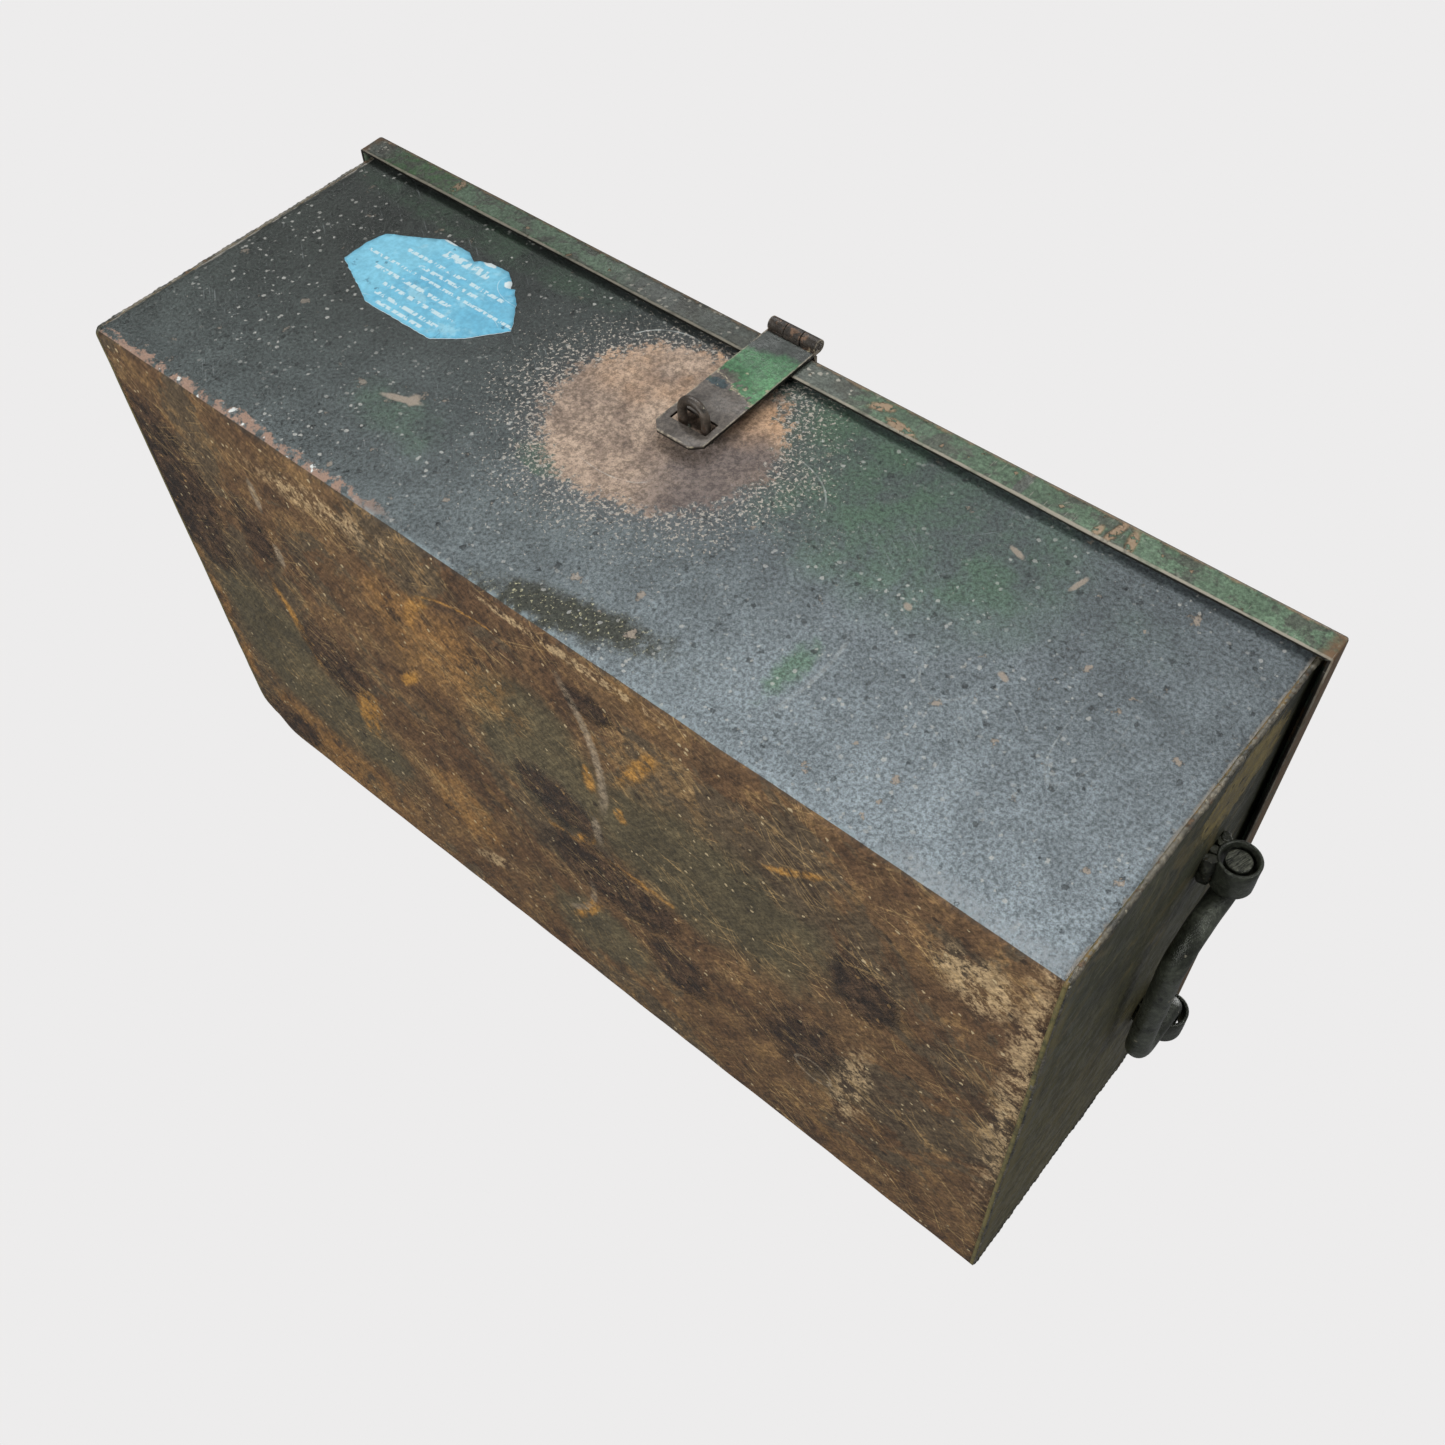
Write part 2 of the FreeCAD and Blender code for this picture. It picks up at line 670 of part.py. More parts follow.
def make_tray_pan():
    """An open pan that rests on the rails' level legs."""
    body = doc.addObject("PartDesign::Body", "tray_pan")
    left = f"({TRAY_X} - dims.tray_length / 2)"
    right = f"({TRAY_X} + dims.tray_length / 2)"
    face = sketch_on(body, "tray_face", "XY_Plane", "dims.rail_height")
    rectangle(face, left, f"-{TRAY_Y}", right, TRAY_Y)
    pad(body, "tray_block", face, "dims.tray_height")
    round_edges(
        body,
        "tray_folds_outside",
        lambda middle, run: near(middle.z, "dims.rail_height") or abs(run.z) > 0.9,
        "dims.tray_fold",
    )
    hollow = sketch_on(body, "tray_hollow", "XY_Plane", "dims.rail_height + dims.tray_height")
    rectangle(
        hollow,
        f"{left} + dims.tray_sheet",
        f"-({TRAY_Y} - dims.tray_sheet)",
        f"{right} - dims.tray_sheet",
        f"{TRAY_Y} - dims.tray_sheet",
    )
    pocket(body, "tray_inside", hollow, "dims.tray_height - dims.tray_sheet")
    round_edges(
        body,
        "tray_folds_inside",
        lambda middle, run: near(middle.z, TRAY_FLOOR)
        or (abs(run.z) > 0.9 and near(abs(middle.y), f"{TRAY_Y} - dims.tray_sheet")),
        "dims.tray_fold - dims.tray_sheet",
    )
    return body


def angle_divider(name, low, lengths, foot_low, foot_lengths):
    """A divider bent from one sheet: an upright web on a flat foot."""
    web = block(f"{name}_web", low, lengths)
    foot = block(f"{name}_foot", foot_low, foot_lengths)
    return fused(name, [web, foot])


def make_long_divider():
    start = f"{TRAY_X} - dims.tray_length / 2 + dims.tray_fold"
    run = "dims.tray_length - 2 * dims.tray_fold"
    return angle_divider(
        "tray_divider_long",
        (start, "-dims.tray_sheet", TRAY_FLOOR),
        (run, "dims.tray_sheet", "dims.divider_height"),
        (start, "0", TRAY_FLOOR),
        (run, "dims.divider_foot", "dims.tray_sheet"),
    )


def make_short_divider(side, sign):
    start = f"-({TRAY_Y} - dims.tray_fold)"
    run = f"{TRAY_Y} - dims.tray_fold - dims.tray_sheet"
    web = f"({TRAY_X} + {sign} * dims.divider_place)"
    foot = web + (" - dims.divider_foot" if sign < 0 else " + dims.tray_sheet")
    return angle_divider(
        f"tray_divider_short_{side}",
        (web, start, TRAY_FLOOR),
        ("dims.tray_sheet", run, "dims.divider_height"),
        (foot, start, TRAY_FLOOR),
        ("dims.divider_foot", run, "dims.tray_sheet"),
    )


def make_tray_handle():
    """A bent rod whose legs are welded to the back of the long divider."""
    body = doc.addObject("PartDesign::Body", "tray_handle")
    low = f"{GRIP_Z} - dims.tray_grip_leg"
    left = f"{TRAY_X} - dims.tray_grip / 2"
    right = f"{TRAY_X} + dims.tray_grip / 2"
    corners = [(left, low), (left, GRIP_Z), (right, GRIP_Z), (right, low)]
    path, section = bent_rod(
        body,
        "tray_handle",
        "XZ_Plane",
        "-dims.tray_rod",
        corners,
        ["dims.tray_corner", "dims.tray_corner"],
        "XY_Plane",
        low,
    )
    circle(section, left, "dims.tray_rod", "dims.tray_rod")
    sweep(body, "tray_handle_rod", path, section)
    return body


# ------------------------------------------------------------------------------------- label


def make_label():
    """A film with clipped corners, stuck on the front wall."""
    body = doc.addObject("PartDesign::Body", "label")
    face = sketch_on(body, "label_face", "XZ_Plane", HALF_DEPTH)
    left = "(dims.label_x - dims.label_length / 2)"
    right = "(dims.label_x + dims.label_length / 2)"
    low = "(dims.label_z - dims.label_width / 2)"
    high = "(dims.label_z + dims.label_width / 2)"
    clip = "dims.label_clip"
    outline(
        face,
        [
            (f"{left} + {clip}", low),
            (f"{right} - {clip}", low),
            (right, f"{low} + {clip}"),
            (right, f"{high} - {clip}"),
            (f"{right} - {clip}", high),
            (f"{left} + {clip}", high),
            (left, f"{high} - {clip}"),
            (left, f"{low} + {clip}"),
        ],
    )
    pad(body, "label_sheet", face, "dims.label_film")
    return body


# ---------------------------------------------------------------------------------- assembly

SIDES = (("left", -1), ("right", 1))

made = [make_tub(), make_staple(), make_label(), make_lid()]
made += [make_hasp_leaf(), make_hasp_pin(), make_hasp_strap()]
made += [make_rail("front", -1), make_rail("back", 1)]
made += [make_tray_pan(), make_long_divider(), make_tray_handle()]
for side, sign in SIDES:
    made.append(make_end_panel(side, sign))
    made += [make_eye(side, sign, end) for end in ("front", "back")]
    made.append(make_handle(side, sign))
    made.append(make_spacer(side, sign))
    made += [make_hinge_leaf(part, side, sign) for part in ("body", "lid")]
    made.append(make_hinge_pin(side, sign))
    made.append(make_short_divider(side, sign))
doc.recompute()

for item in doc.Objects:
    if {"Invalid", "Error"} & set(item.State):
        raise RuntimeError(f"{item.Name} failed: {item.State}")

os.makedirs("parts", exist_ok=True)
for item in made:
    item.Label = item.Name
    shape = item.Shape
    if shape.isNull() or not shape.isValid() or len(shape.Solids) != 1:
        raise RuntimeError(f"{item.Label} is not one valid solid")
    shape.exportStep(f"parts/{item.Label}.step")
    print(f"{item.Label:28s} {shape.Volume / 1000:9.2f} cm3")
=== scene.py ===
"""The looks of the sheet-steel toolbox: dented folded sheet, weld beads, worn paint and rust.

Metres, in the frame's own axes: +X to the right, -Y to the front, +Z up out of the bottom.
"""

import json
import math

import bmesh
import bpy
from mathutils import Matrix, Vector, noise

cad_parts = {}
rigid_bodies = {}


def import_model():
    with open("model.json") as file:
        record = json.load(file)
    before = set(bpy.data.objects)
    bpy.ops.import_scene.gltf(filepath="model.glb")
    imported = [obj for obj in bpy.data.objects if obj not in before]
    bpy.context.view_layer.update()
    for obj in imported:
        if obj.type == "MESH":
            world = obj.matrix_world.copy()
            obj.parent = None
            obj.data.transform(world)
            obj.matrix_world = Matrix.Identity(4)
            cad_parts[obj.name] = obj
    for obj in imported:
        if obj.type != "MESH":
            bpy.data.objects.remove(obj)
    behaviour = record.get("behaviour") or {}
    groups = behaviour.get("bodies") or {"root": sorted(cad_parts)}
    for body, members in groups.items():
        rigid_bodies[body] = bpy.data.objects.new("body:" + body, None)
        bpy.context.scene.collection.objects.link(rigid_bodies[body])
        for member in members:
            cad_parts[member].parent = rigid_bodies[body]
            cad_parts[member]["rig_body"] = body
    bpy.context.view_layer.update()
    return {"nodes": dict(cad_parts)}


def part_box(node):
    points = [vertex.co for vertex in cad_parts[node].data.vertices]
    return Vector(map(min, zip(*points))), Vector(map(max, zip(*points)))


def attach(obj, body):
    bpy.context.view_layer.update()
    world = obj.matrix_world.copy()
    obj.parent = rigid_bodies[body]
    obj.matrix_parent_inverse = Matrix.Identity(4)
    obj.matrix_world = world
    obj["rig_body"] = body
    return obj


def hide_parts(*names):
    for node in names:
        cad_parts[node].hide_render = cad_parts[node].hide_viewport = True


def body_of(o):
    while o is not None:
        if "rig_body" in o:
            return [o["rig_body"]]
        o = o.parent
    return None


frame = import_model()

MM = 0.001
scene = bpy.context.scene

# ------------------------------------------------------------------------ places of the frame

tub_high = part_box("body_tub")[1]
lid_low, lid_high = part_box("lid_panel")
end_low, end_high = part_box("end_panel_right")
pan_low, pan_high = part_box("tray_pan")
label_low, label_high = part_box("label")
strap_low, strap_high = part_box("hasp_strap")
staple_low, staple_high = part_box("hasp_staple")
grip_low, grip_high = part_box("tray_handle")

SHEET = end_high.x - end_low.x
FOLD = 4.5 * MM
TRAY_SHEET = 1.5 * MM
BODY_X = end_high.x
BODY_Y = tub_high.y
BODY_Z = tub_high.z
STRAP_X = (strap_low.x + strap_high.x) / 2


# --------------------------------------------------------------------------- node materials


def srgb(red, green, blue):
    """A linear colour from an 8-bit display colour."""
    def linear(value):
        value /= 255
        return value / 12.92 if value <= 0.04045 else ((value + 0.055) / 1.055) ** 2.4

    return (linear(red), linear(green), linear(blue), 1)


def flat(plane, first, second):
    """Two lengths in millimetres along the axes of a plane, in metres on all three axes."""
    return (first * MM, second * MM, 0) if plane == "XY" else (first * MM, 0, second * MM)


def about(plane, turn):
    """A turn in degrees about the axis that stands on a plane."""
    return (0, 0, turn) if plane == "XY" else (0, turn, 0)


class Value:
    """The output of a node, with arithmetic that adds Math nodes to its material."""

    def __init__(self, finish, socket):
        self.finish = finish
        self.socket = socket

    def __add__(self, other):
        return self.finish.math("ADD", self, other)

    def __radd__(self, other):
        return self.finish.math("ADD", other, self)

    def __sub__(self, other):
        return self.finish.math("SUBTRACT", self, other)

    def __rsub__(self, other):
        return self.finish.math("SUBTRACT", other, self)

    def __mul__(self, other):
        return self.finish.math("MULTIPLY", self, other)

    def __abs__(self):
        return self.finish.math("ABSOLUTE", self)


class Finish:
    """A material under construction: short calls that add nodes and return their outputs."""

    def __init__(self, name, metallic=0.0, specular=0.5):
        self.material = bpy.data.materials.new(name)
        self.material.use_nodes = True
        self.tree = self.material.node_tree
        self.tree.nodes.clear()
        self.shader = self.node("BsdfPrincipled", Metallic=metallic, Specular_IOR_Level=specular)
        self.output = self.node("OutputMaterial", Surface=self.value(self.shader))
        self.here = self.value(self.node("TexCoord"), "Object")
        self.seed = len(bpy.data.materials)
        self.shared = {}

    def value(self, node, output=0):
        return Value(self, node.outputs[output])

    def feed(self, socket, value):
        if isinstance(value, Value):
            self.tree.links.new(value.socket, socket)
        else:
            socket.default_value = value

    def node(self, kind, settings=(), **inputs):
        """A node with its settings and its named inputs, a _ standing for a space."""
        node = self.tree.nodes.new("ShaderNode" + kind)
        for key, value in dict(settings).items():
            setattr(node, key, value)
        for key, value in inputs.items():
            self.feed(node.inputs[key.replace("_", " ")], value)
        return node

    def math(self, operation, first, second=0.0):
        node = self.node("Math", {"operation": operation})
        self.feed(node.inputs[0], first)
        self.feed(node.inputs[1], second)
        return self.value(node)

    def most(self, first, *others):
        for other in others:
            first = self.math("MAXIMUM", first, other)
        return first

    def fade(self, value, start, end, low=0.0, high=1.0):
        """Smooth step of a value from low at start to high at end."""
        node = self.node("MapRange", {"interpolation_type": "SMOOTHSTEP"}, Value=value)
        for socket, number in zip(node.inputs[1:5], (start, end, low, high)):
            self.feed(socket, number)
        return self.value(node)

    def local(self, centre=(0, 0, 0), radii=(1, 1, 1), turn=(0, 0, 0)):
        """Coordinates from a centre, turned by degrees, in units of the radii; 0 drops an axis."""
        angles = [math.radians(angle) for angle in turn]
        return self.value(self.node("Mapping", {"vector_type": "TEXTURE"}, Vector=self.here,
                                    Location=centre, Rotation=angles, Scale=radii))

    def length(self, vector):
        node = self.node("VectorMath", {"operation": "LENGTH"}, Vector=vector)
        return self.value(node, "Value")

    def axis(self, name):
        return self.value(self.node("SeparateXYZ", Vector=self.here), name)

    def noise(self, scale, detail=5.0, rough=0.55, warp=0.0, vector=None):
        """Noise with its own slice of the fourth axis, so that no two are alike."""
        self.seed += 1
        node = self.node("TexNoise", {"noise_dimensions": "4D"}, Vector=vector or self.here,
                         W=3.7 * self.seed, Scale=scale, Detail=detail, Roughness=rough, Distortion=warp)
        return self.value(node, "Fac")

    def mottle(self, recipe, start, end, low=0.0, high=1.0):
        """Smooth step of a noise of its own."""
        return self.fade(self.noise(*recipe), start, end, low, high)

    def swing(self, scale, size, detail=5.0, rough=0.6):
        """Noise around zero, from about -size to size."""
        return (self.noise(scale, detail, rough) - 0.5) * (3 * size)

    def ragged(self, grain):
        """One noise around zero per grain, which all of a material's edges share."""
        grain = min((25, 60, 130, 300), key=lambda known: abs(math.log(known / grain)))
        if grain not in self.shared:
            self.shared[grain] = self.noise(grain, 5, 0.68) - 0.5
        return self.shared[grain]

    def cells(self, scale):
        """Voronoi cells: the distance to the nearest point and a random number per cell."""
        self.seed += 1
        node = self.node("TexVoronoi", {"voronoi_dimensions": "4D"}, Vector=self.here,
                         W=1.3 * self.seed, Scale=scale)
        pick = self.node("SeparateColor", Color=self.value(node, "Color"))
        return self.value(node, "Distance"), self.value(pick)

    def blend(self, low, high, amount, strength=None, mode="MIX"):
        """Two colours mixed by an amount, times a strength; a tuple is an 8-bit colour."""
        if strength is not None:
            amount = amount * strength
        node = self.node("Mix", {"data_type": "RGBA", "blend_type": mode})
        for socket, value in ((0, amount), (6, low), (7, high)):
            self.feed(node.inputs[socket], srgb(*value) if isinstance(value, tuple) else value)
        return self.value(node, 2)

    def coats(self, colour, rows):
        """One coat over another: each row is its colour, where it lies and how strong it is."""
        for row in rows:
            colour = self.blend(colour, *row)
        return colour

    def dim(self, colour, amount):
        return self.blend(colour, amount, 1.0, mode="MULTIPLY")

    def shade(self, colour, value, low, high):
        """A colour made darker or lighter by a noise."""
        return self.dim(colour, self.fade(value, 0.36, 0.64, low, high))

    def spot(self, centre, radii, turn=(0, 0, 0), edge=0.12, ragged=0.45, grain=60.0):
        """1 inside a ragged ellipse and 0 outside; a radius of 0 leaves that axis out."""
        reach = self.length(self.local(centre, radii, turn))
        return self.fade(reach + self.ragged(grain) * (ragged * 3), 1 + edge, 1 - edge)

    def spots(self, plane, rows):
        """Spots in a plane: middle and radii in mm, turn, edge, raggedness and grain."""
        return self.most(*[
            self.spot(flat(plane, *row[:2]), flat(plane, *row[2:4]), about(plane, row[4]), *row[5:])
            for row in rows
        ])

    def arc(self, centre, radii, width, part, reach, broken=0.5):
        """A thin broken curve: the part of an ellipse's outline that lies in a spot."""
        off = abs(self.length(self.local(centre, radii)) - 1.0)
        line = self.fade(off + self.ragged(300) * (width * 1.5), width, width * 0.4)
        keep = self.spot(part, reach, edge=0.3, ragged=0.1)
        return line * keep * self.fade(self.ragged(130), -0.20, broken - 0.20)

    def arcs(self, plane, rows):
        """Arcs in a plane: middle and radii in mm, width, the spot's own four, brokenness."""
        return self.most(*[
            self.arc(flat(plane, *row[:2]), flat(plane, *row[2:4]), row[4],
                     flat(plane, *row[5:7]), flat(plane, *row[7:9]), row[9])
            for row in rows
        ])

    def flecks(self, scale, share, size, ragged=1.3):
        """Scattered ragged dots: a share of the cells, each up to a size in cell widths."""
        distance, pick = self.cells(scale)
        distance = distance + self.ragged(scale * 2.5) * ragged
        chosen = self.fade(pick, share, share * 0.2, 0.0, size)
        return self.fade(chosen - distance, 0.0, size * 0.25)

    def scratches(self, *rows):
        """Fine broken parallel lines of noise: size along each axis, turn, share and gap grain."""
        sets = []
        for lengths, turn, share, gap in rows:
            lines = self.noise(1.0, 2, 0.5, 0.0, self.local((0, 0, 0), lengths, turn))
            broken = self.fade(self.ragged(gap), -0.05, 0.1)
            sets.append(self.fade(lines, 0.72 - share, 0.78 - share) * broken)
        return self.most(*sets)

    def bump(self, height, distance, strength=1.0):
        return self.value(self.node("Bump", Height=height, Distance=distance, Strength=strength))

    def done(self, colour, roughness, normal=None):
        self.feed(self.shader.inputs["Base Color"], colour)
        self.feed(self.shader.inputs["Roughness"], roughness)
        if normal is not None:
            self.feed(self.shader.inputs["Normal"], normal)
        return self.material


def front_finish():
    """Charcoal paint over green, with a burnt bare circle behind the hasp."""
    f = Finish("front_paint", specular=0.4)
    x, z = f.axis("X"), f.axis("Z")
    lean = x - z * 1.2 + f.swing(4, 0.1, 4)
    cloud = f.noise(36, 6, 0.74, 0.5)
    grain = f.noise(520, 4, 0.8)
    # The paint grows lighter towards the lower right: partly dust, partly a painted sheen.
    paint = f.blend((50, 56, 52), (98, 106, 110), f.fade(lean, -0.5, 0.34))
    paint = f.shade(paint, cloud, 0.8, 1.16)

    green = f.most(
        f.spots("XZ", [
            (124, 155, 85, 45, 0, 0.5, 0.6, 25), (60, 182, 70, 16, 0, 0.5, 0.6, 25),
            (-42, 80, 18, 12, 0, 0.12, 0.6, 60),
        ]),
        f.spot((-0.125, 0, 0.055), (0.03, 0, 0.014), grain=60, ragged=0.8, edge=0.5) * 0.6,
        f.spot((-0.2, 0, 0.186), (0.1, 0, 0.01), grain=25, ragged=0.6, edge=0.5) * 0.7,
        f.spot((0.132, 0, 0.052), (0.006, 0, 0.016), grain=130, ragged=0.9, edge=0.5),
    )
    patchy = f.fade(cloud, 0.38, 0.6, 0.15, 0.85)
    paint = f.blend(paint, (62, 90, 66), green * (patchy * 0.8))

    crumb_noise = f.noise(480, 3, 0.72)
    smear = f.spot(
        (0.036, 0, 0.0145), (0.046, 0, 0.0105), (0, -13, 0), grain=130, ragged=0.6, edge=0.4,
    )
    smear_tone = f.blend((38, 38, 28), (138, 134, 106), f.fade(crumb_noise, 0.58, 0.64))
    paint = f.blend(paint, smear_tone, smear, 0.9)
    paint = f.shade(paint, grain, 0.48, 1.52)

    burn = f.length(f.local((-0.0146, 0, 0.133), (0.0625, 0, 0.0585)))
    reach = burn + f.ragged(25) * 0.3
    bare = f.fade(reach + f.ragged(300) * 0.85, 1.05, 0.93)
    halo = f.fade(crumb_noise - f.fade(reach + f.ragged(25), 0.9, 2.2, 0.53, 0.69), 0.0, 0.02)
    soot = f.fade(reach, 1.35, 1.02)
    paint = f.blend(paint, (66, 68, 70), soot, 0.45)
    tan = f.blend((118, 102, 90), (166, 146, 128), f.fade(cloud, 0.36, 0.62))
    warm = f.mottle([24, 4], 0.42, 0.62) * f.fade(z, 0.11, 0.18)
    tan = f.blend(tan, (172, 132, 92), warm, 0.6)
    shade = f.spot((0.032, 0, 0.118), (0.03, 0, 0.036), grain=60, ragged=0.5, edge=0.6)
    tan = f.blend(tan, (92, 84, 82), shade, 0.8)
    tan = f.shade(tan, f.noise(420, 3, 0.75), 0.58, 1.34)

    chips = f.flecks(95, 0.34, 0.24, 1.5) * f.fade(lean, -0.6, 0.2, 0.35, 1.0)
    dust = f.flecks(330, 0.6, 0.36, 1.6) * f.mottle([14, 4, 0.6], 0.4, 0.58, 0.15, 1.0)
    pits = f.flecks(210, 0.42, 0.3, 1.6)
    long_chip = f.spots("XZ", [
        (-131, 65.5, 12, 2.2, -18, 0.3, 0.5, 130), (-126, 68, 3.5, 4, 0, 0.3, 0.5, 130),
        (170, 170, 4.5, 1.6, 20, 0.3, 0.5, 300), (202, 171, 1.4, 5.5, 12, 0.3, 0.5, 300),
        (205, 106, 3, 1.6, 20, 0.3, 0.5, 300), (150, 113, 2.5, 1.8, 30, 0.3, 0.5, 300),
    ])
    marks = f.arcs("XZ", [
        (20, 60, 123, 123, 0.012, 143, 58, 12, 26, 0.75),
        (250.5, 106, 10.5, 34, 0.045, 250.5, 92, 20, 28, 0.75),
        (187, 96, 13.5, 18, 0.05, 187, 84, 20, 14, 0.75),
        (-45, 165, 30, 28, 0.02, -62, 186, 22, 12, 0.4),
        (50, 130, 35, 26, 0.02, 75, 150, 20, 14, 0.5),
        (-19, 102, 26, 12, 0.03, -10, 94, 20, 8, 0.5),
    ])
    lines = f.scratches(
        ((0.0008, 0.01, 0.03), (0, 38, 0), 0.05, 30),
        ((0.0007, 0.01, 0.022), (0, -55, 0), 0.06, 30),
    )

    # Painted light and shade over the whole paint: darker on the left, lighter towards the foot.
    painted_shade_left = f.fade(x, -0.22, 0.12, 0.6, 1.0)
    painted_sheen_foot = f.fade(z, 0.175, 0.0, 0.0, 0.56)
    paint = f.dim(paint, painted_shade_left + painted_sheen_foot)
    colour = f.blend(paint, (128, 134, 134), lines, 0.55)
    colour = f.coats(colour, [
        ((34, 36, 36), pits, 0.55),
        ((150, 138, 124), f.most(chips, long_chip), 0.85),
        ((172, 172, 166), dust, 0.7),
        ((178, 170, 158), halo, 0.8),
        (tan, bare),
        ((186, 190, 186), marks, 0.7),
    ])

    foot = z + (f.ragged(60) * 0.018 + f.ragged(300) * 0.012)
    worn = f.fade(foot, 0.0072, 0.006) * f.fade(x, -0.06, -0.11)
    colour = f.coats(colour, [
        ((146, 120, 104), worn * f.fade(f.ragged(130), -0.06, 0.03)),
        ((205, 208, 205), worn * f.flecks(170, 0.5, 0.42, 2.0)),
    ])
    # A pale bluish line along the bottom fold on the right: a painted highlight.
    edge = f.fade(z, 0.004, 0.0018) * f.fade(x, -0.11, -0.08)
    colour = f.blend(colour, (128, 142, 146), edge * f.fade(f.ragged(130), -0.05, 0.1, 0.0, 0.7))
    # A pale patch low in the right-hand corner: a painted sheen.
    painted_sheen_corner = f.fade(foot, 0.014, 0.006) * f.fade(x, 0.21, 0.23)
    colour = f.blend(colour, (138, 144, 147), painted_sheen_corner * f.fade(crumb_noise, 0.4, 0.6, 0.1, 0.8))
    side = f.fade(abs(x) + f.ragged(130) * 0.0045, 0.3015, 0.303)
    colour = f.blend(colour, (150, 146, 138), side * f.fade(f.ragged(130), -0.1, 0.05))

    height = grain * 0.8 + cloud * 0.6
    height = height - (pits + chips) * 0.4
    rough = f.fade(cloud, 0.35, 0.65, 0.36, 0.5) + f.most(bare, smear) * 0.35
    return f.done(colour, rough, f.bump(height, 1.8 * MM, 1.0))


def bottom_finish():
    """Brown rust with ochre stains, smooth olive patches and rough dark blisters."""
    f = Finish("bottom_rust", specular=0.35)
    x, y = f.axis("X"), f.axis("Y")
    cloud = f.noise(13, 7, 0.7, 0.9)
    grain = f.noise(85, 5, 0.76, 0.5)
    fine = f.noise(330, 4, 0.78)
    rust = f.blend((88, 66, 48), (108, 84, 60), f.fade(cloud, 0.4, 0.62))
    rust = f.blend(rust, (82, 73, 60), f.mottle([9, 6, 0.7, 0.6], 0.5, 0.54), 0.75)
    scale = grain + (cloud - 0.5) * 0.8
    rust = f.coats(rust, [
        ((136, 108, 72), f.fade(scale, 0.585, 0.6), 0.4),
        ((64, 50, 40), f.fade(scale, 0.42, 0.4), 0.55),
    ])
    streak = f.noise(1.0, 6, 0.65, 0.3, f.local((0, 0, 0), (0.05, 0.018, 0.02), (0, 0, 35)))
    rust = f.blend(rust, (132, 102, 64), f.fade(streak, 0.56, 0.66), 0.5)
    across = f.noise(1.0, 6, 0.65, 0.3, f.local((0, 0, 0), (0.012, 0.05, 0.02), (0, 0, 10)))
    rust = f.blend(rust, (58, 46, 37), f.fade(across, 0.56, 0.66), 0.4)

    smooth = f.spots("XY", [
        (6, -56, 50, 55, -12, 0.25, 0.35, 30), (118, -45, 80, 52, 0, 0.3, 0.45, 30),
        (-205, 75, 75, 42, 8, 0.3, 0.45, 30), (-245, 25, 45, 45, 0, 0.3, 0.45, 35),
        (30, 105, 45, 30, -25, 0.3, 0.5, 40),
    ])
    olive = f.blend((74, 68, 53), (92, 84, 65), f.mottle([30, 5], 0.35, 0.65))
    rust = f.blend(rust, olive, smooth, 0.95)

    ochre = f.most(
        f.arcs("XY", [
            (-30, -88, 50, 50, 0.1, -62, -108, 20, 20, 0.2),
            (-10, -45, 100, 100, 0.012, -35, -138, 40, 12, 0.3),
        ]),
        f.spots("XY", [
            (83, -112, 26, 4.5, 122, 0.5, 0.8, 120), (-96, -38, 12, 4, 130, 0.4, 0.8, 120),
            (46, 6, 44, 3.5, -4, 0.4, 0.6, 120), (22, 88, 22, 4.5, 122, 0.4, 0.6, 120),
            (33, -1, 10, 4, 130, 0.4, 0.6, 120), (65, -55, 4, 6, 0, 0.4, 0.6, 120),
            (45, -70, 4, 10, 0, 0.4, 0.6, 120), (-156, 42, 10, 26, 12, 0.4, 0.8, 90),
            (-205, -5, 4, 30, -18, 0.6, 0.8, 90), (175, -117, 20, 2.5, -38, 0.4, 0.9, 120),
        ]),
    )
    grained = f.fade(grain, 0.36, 0.54)
    rust = f.blend(rust, (168, 124, 62), ochre * grained, 0.85)
    amber = f.spots("XY", [
        (-78, 78, 26, 30, 0, 0.5, 0.8, 70), (-225, 145, 70, 28, 8, 0.4, 0.8, 60),
        (-60, -90, 50, 35, 0, 0.5, 0.9, 60), (-302, -115, 6, 20, 0, 0.4, 0.8, 60),
        (-300, 60, 8, 60, 0, 0.4, 0.8, 60),
    ])
    rust = f.blend(rust, (150, 112, 66), amber * grained, 0.55)
    tan = f.spots("XY", [
        (270, -131, 20, 20, 0, 0.4, 0.6, 100), (-130, -150, 45, 10, -6, 0.5, 0.8, 90),
        (45, -166, 55, 3.5, 0, 0.3, 0.8, 90), (-60, 118, 22, 6, -30, 0.4, 0.8, 90),
        (215, 60, 10, 45, 5, 0.5, 0.9, 90), (300, -60, 10, 120, 0, 0.5, 0.9, 90),
    ])
    speckled = f.fade(grain + (fine - 0.5) * 0.6, 0.44, 0.56)
    rust = f.blend(rust, (168, 146, 116), tan * speckled, 0.85)

    rough_spots = f.spots("XY", [
        (-285, -75, 34, 58, 0, 0.25, 0.5, 45), (-280, -30, 24, 22, 0, 0.25, 0.5, 45),
        (-212, -78, 15, 22, 0, 0.35, 0.6, 60), (-177, 8, 25, 26, 0, 0.25, 0.5, 60),
        (14, -22, 28, 20, 10, 0.25, 0.4, 70), (48, 28, 46, 26, 0, 0.25, 0.4, 60),
        (94, 74, 21, 24, 0, 0.25, 0.4, 70), (216, -55, 20, 24, 0, 0.25, 0.4, 70),
        (182, 45, 20, 34, 20, 0.4, 0.7, 60), (54, -137, 14, 9, 0, 0.3, 0.5, 90),
        (-270, 150, 30, 18, 0, 0.4, 0.7, 60),
    ])
    maroon = f.blend((50, 38, 33), (92, 72, 58), f.fade(grain, 0.4, 0.6))
    maroon = f.coats(maroon, [
        ((32, 25, 22), f.flecks(150, 0.6, 0.45)),
        ((172, 138, 94), f.flecks(230, 0.34, 0.36), 0.8),
    ])
    rust = f.blend(rust, maroon, rough_spots, 0.92)

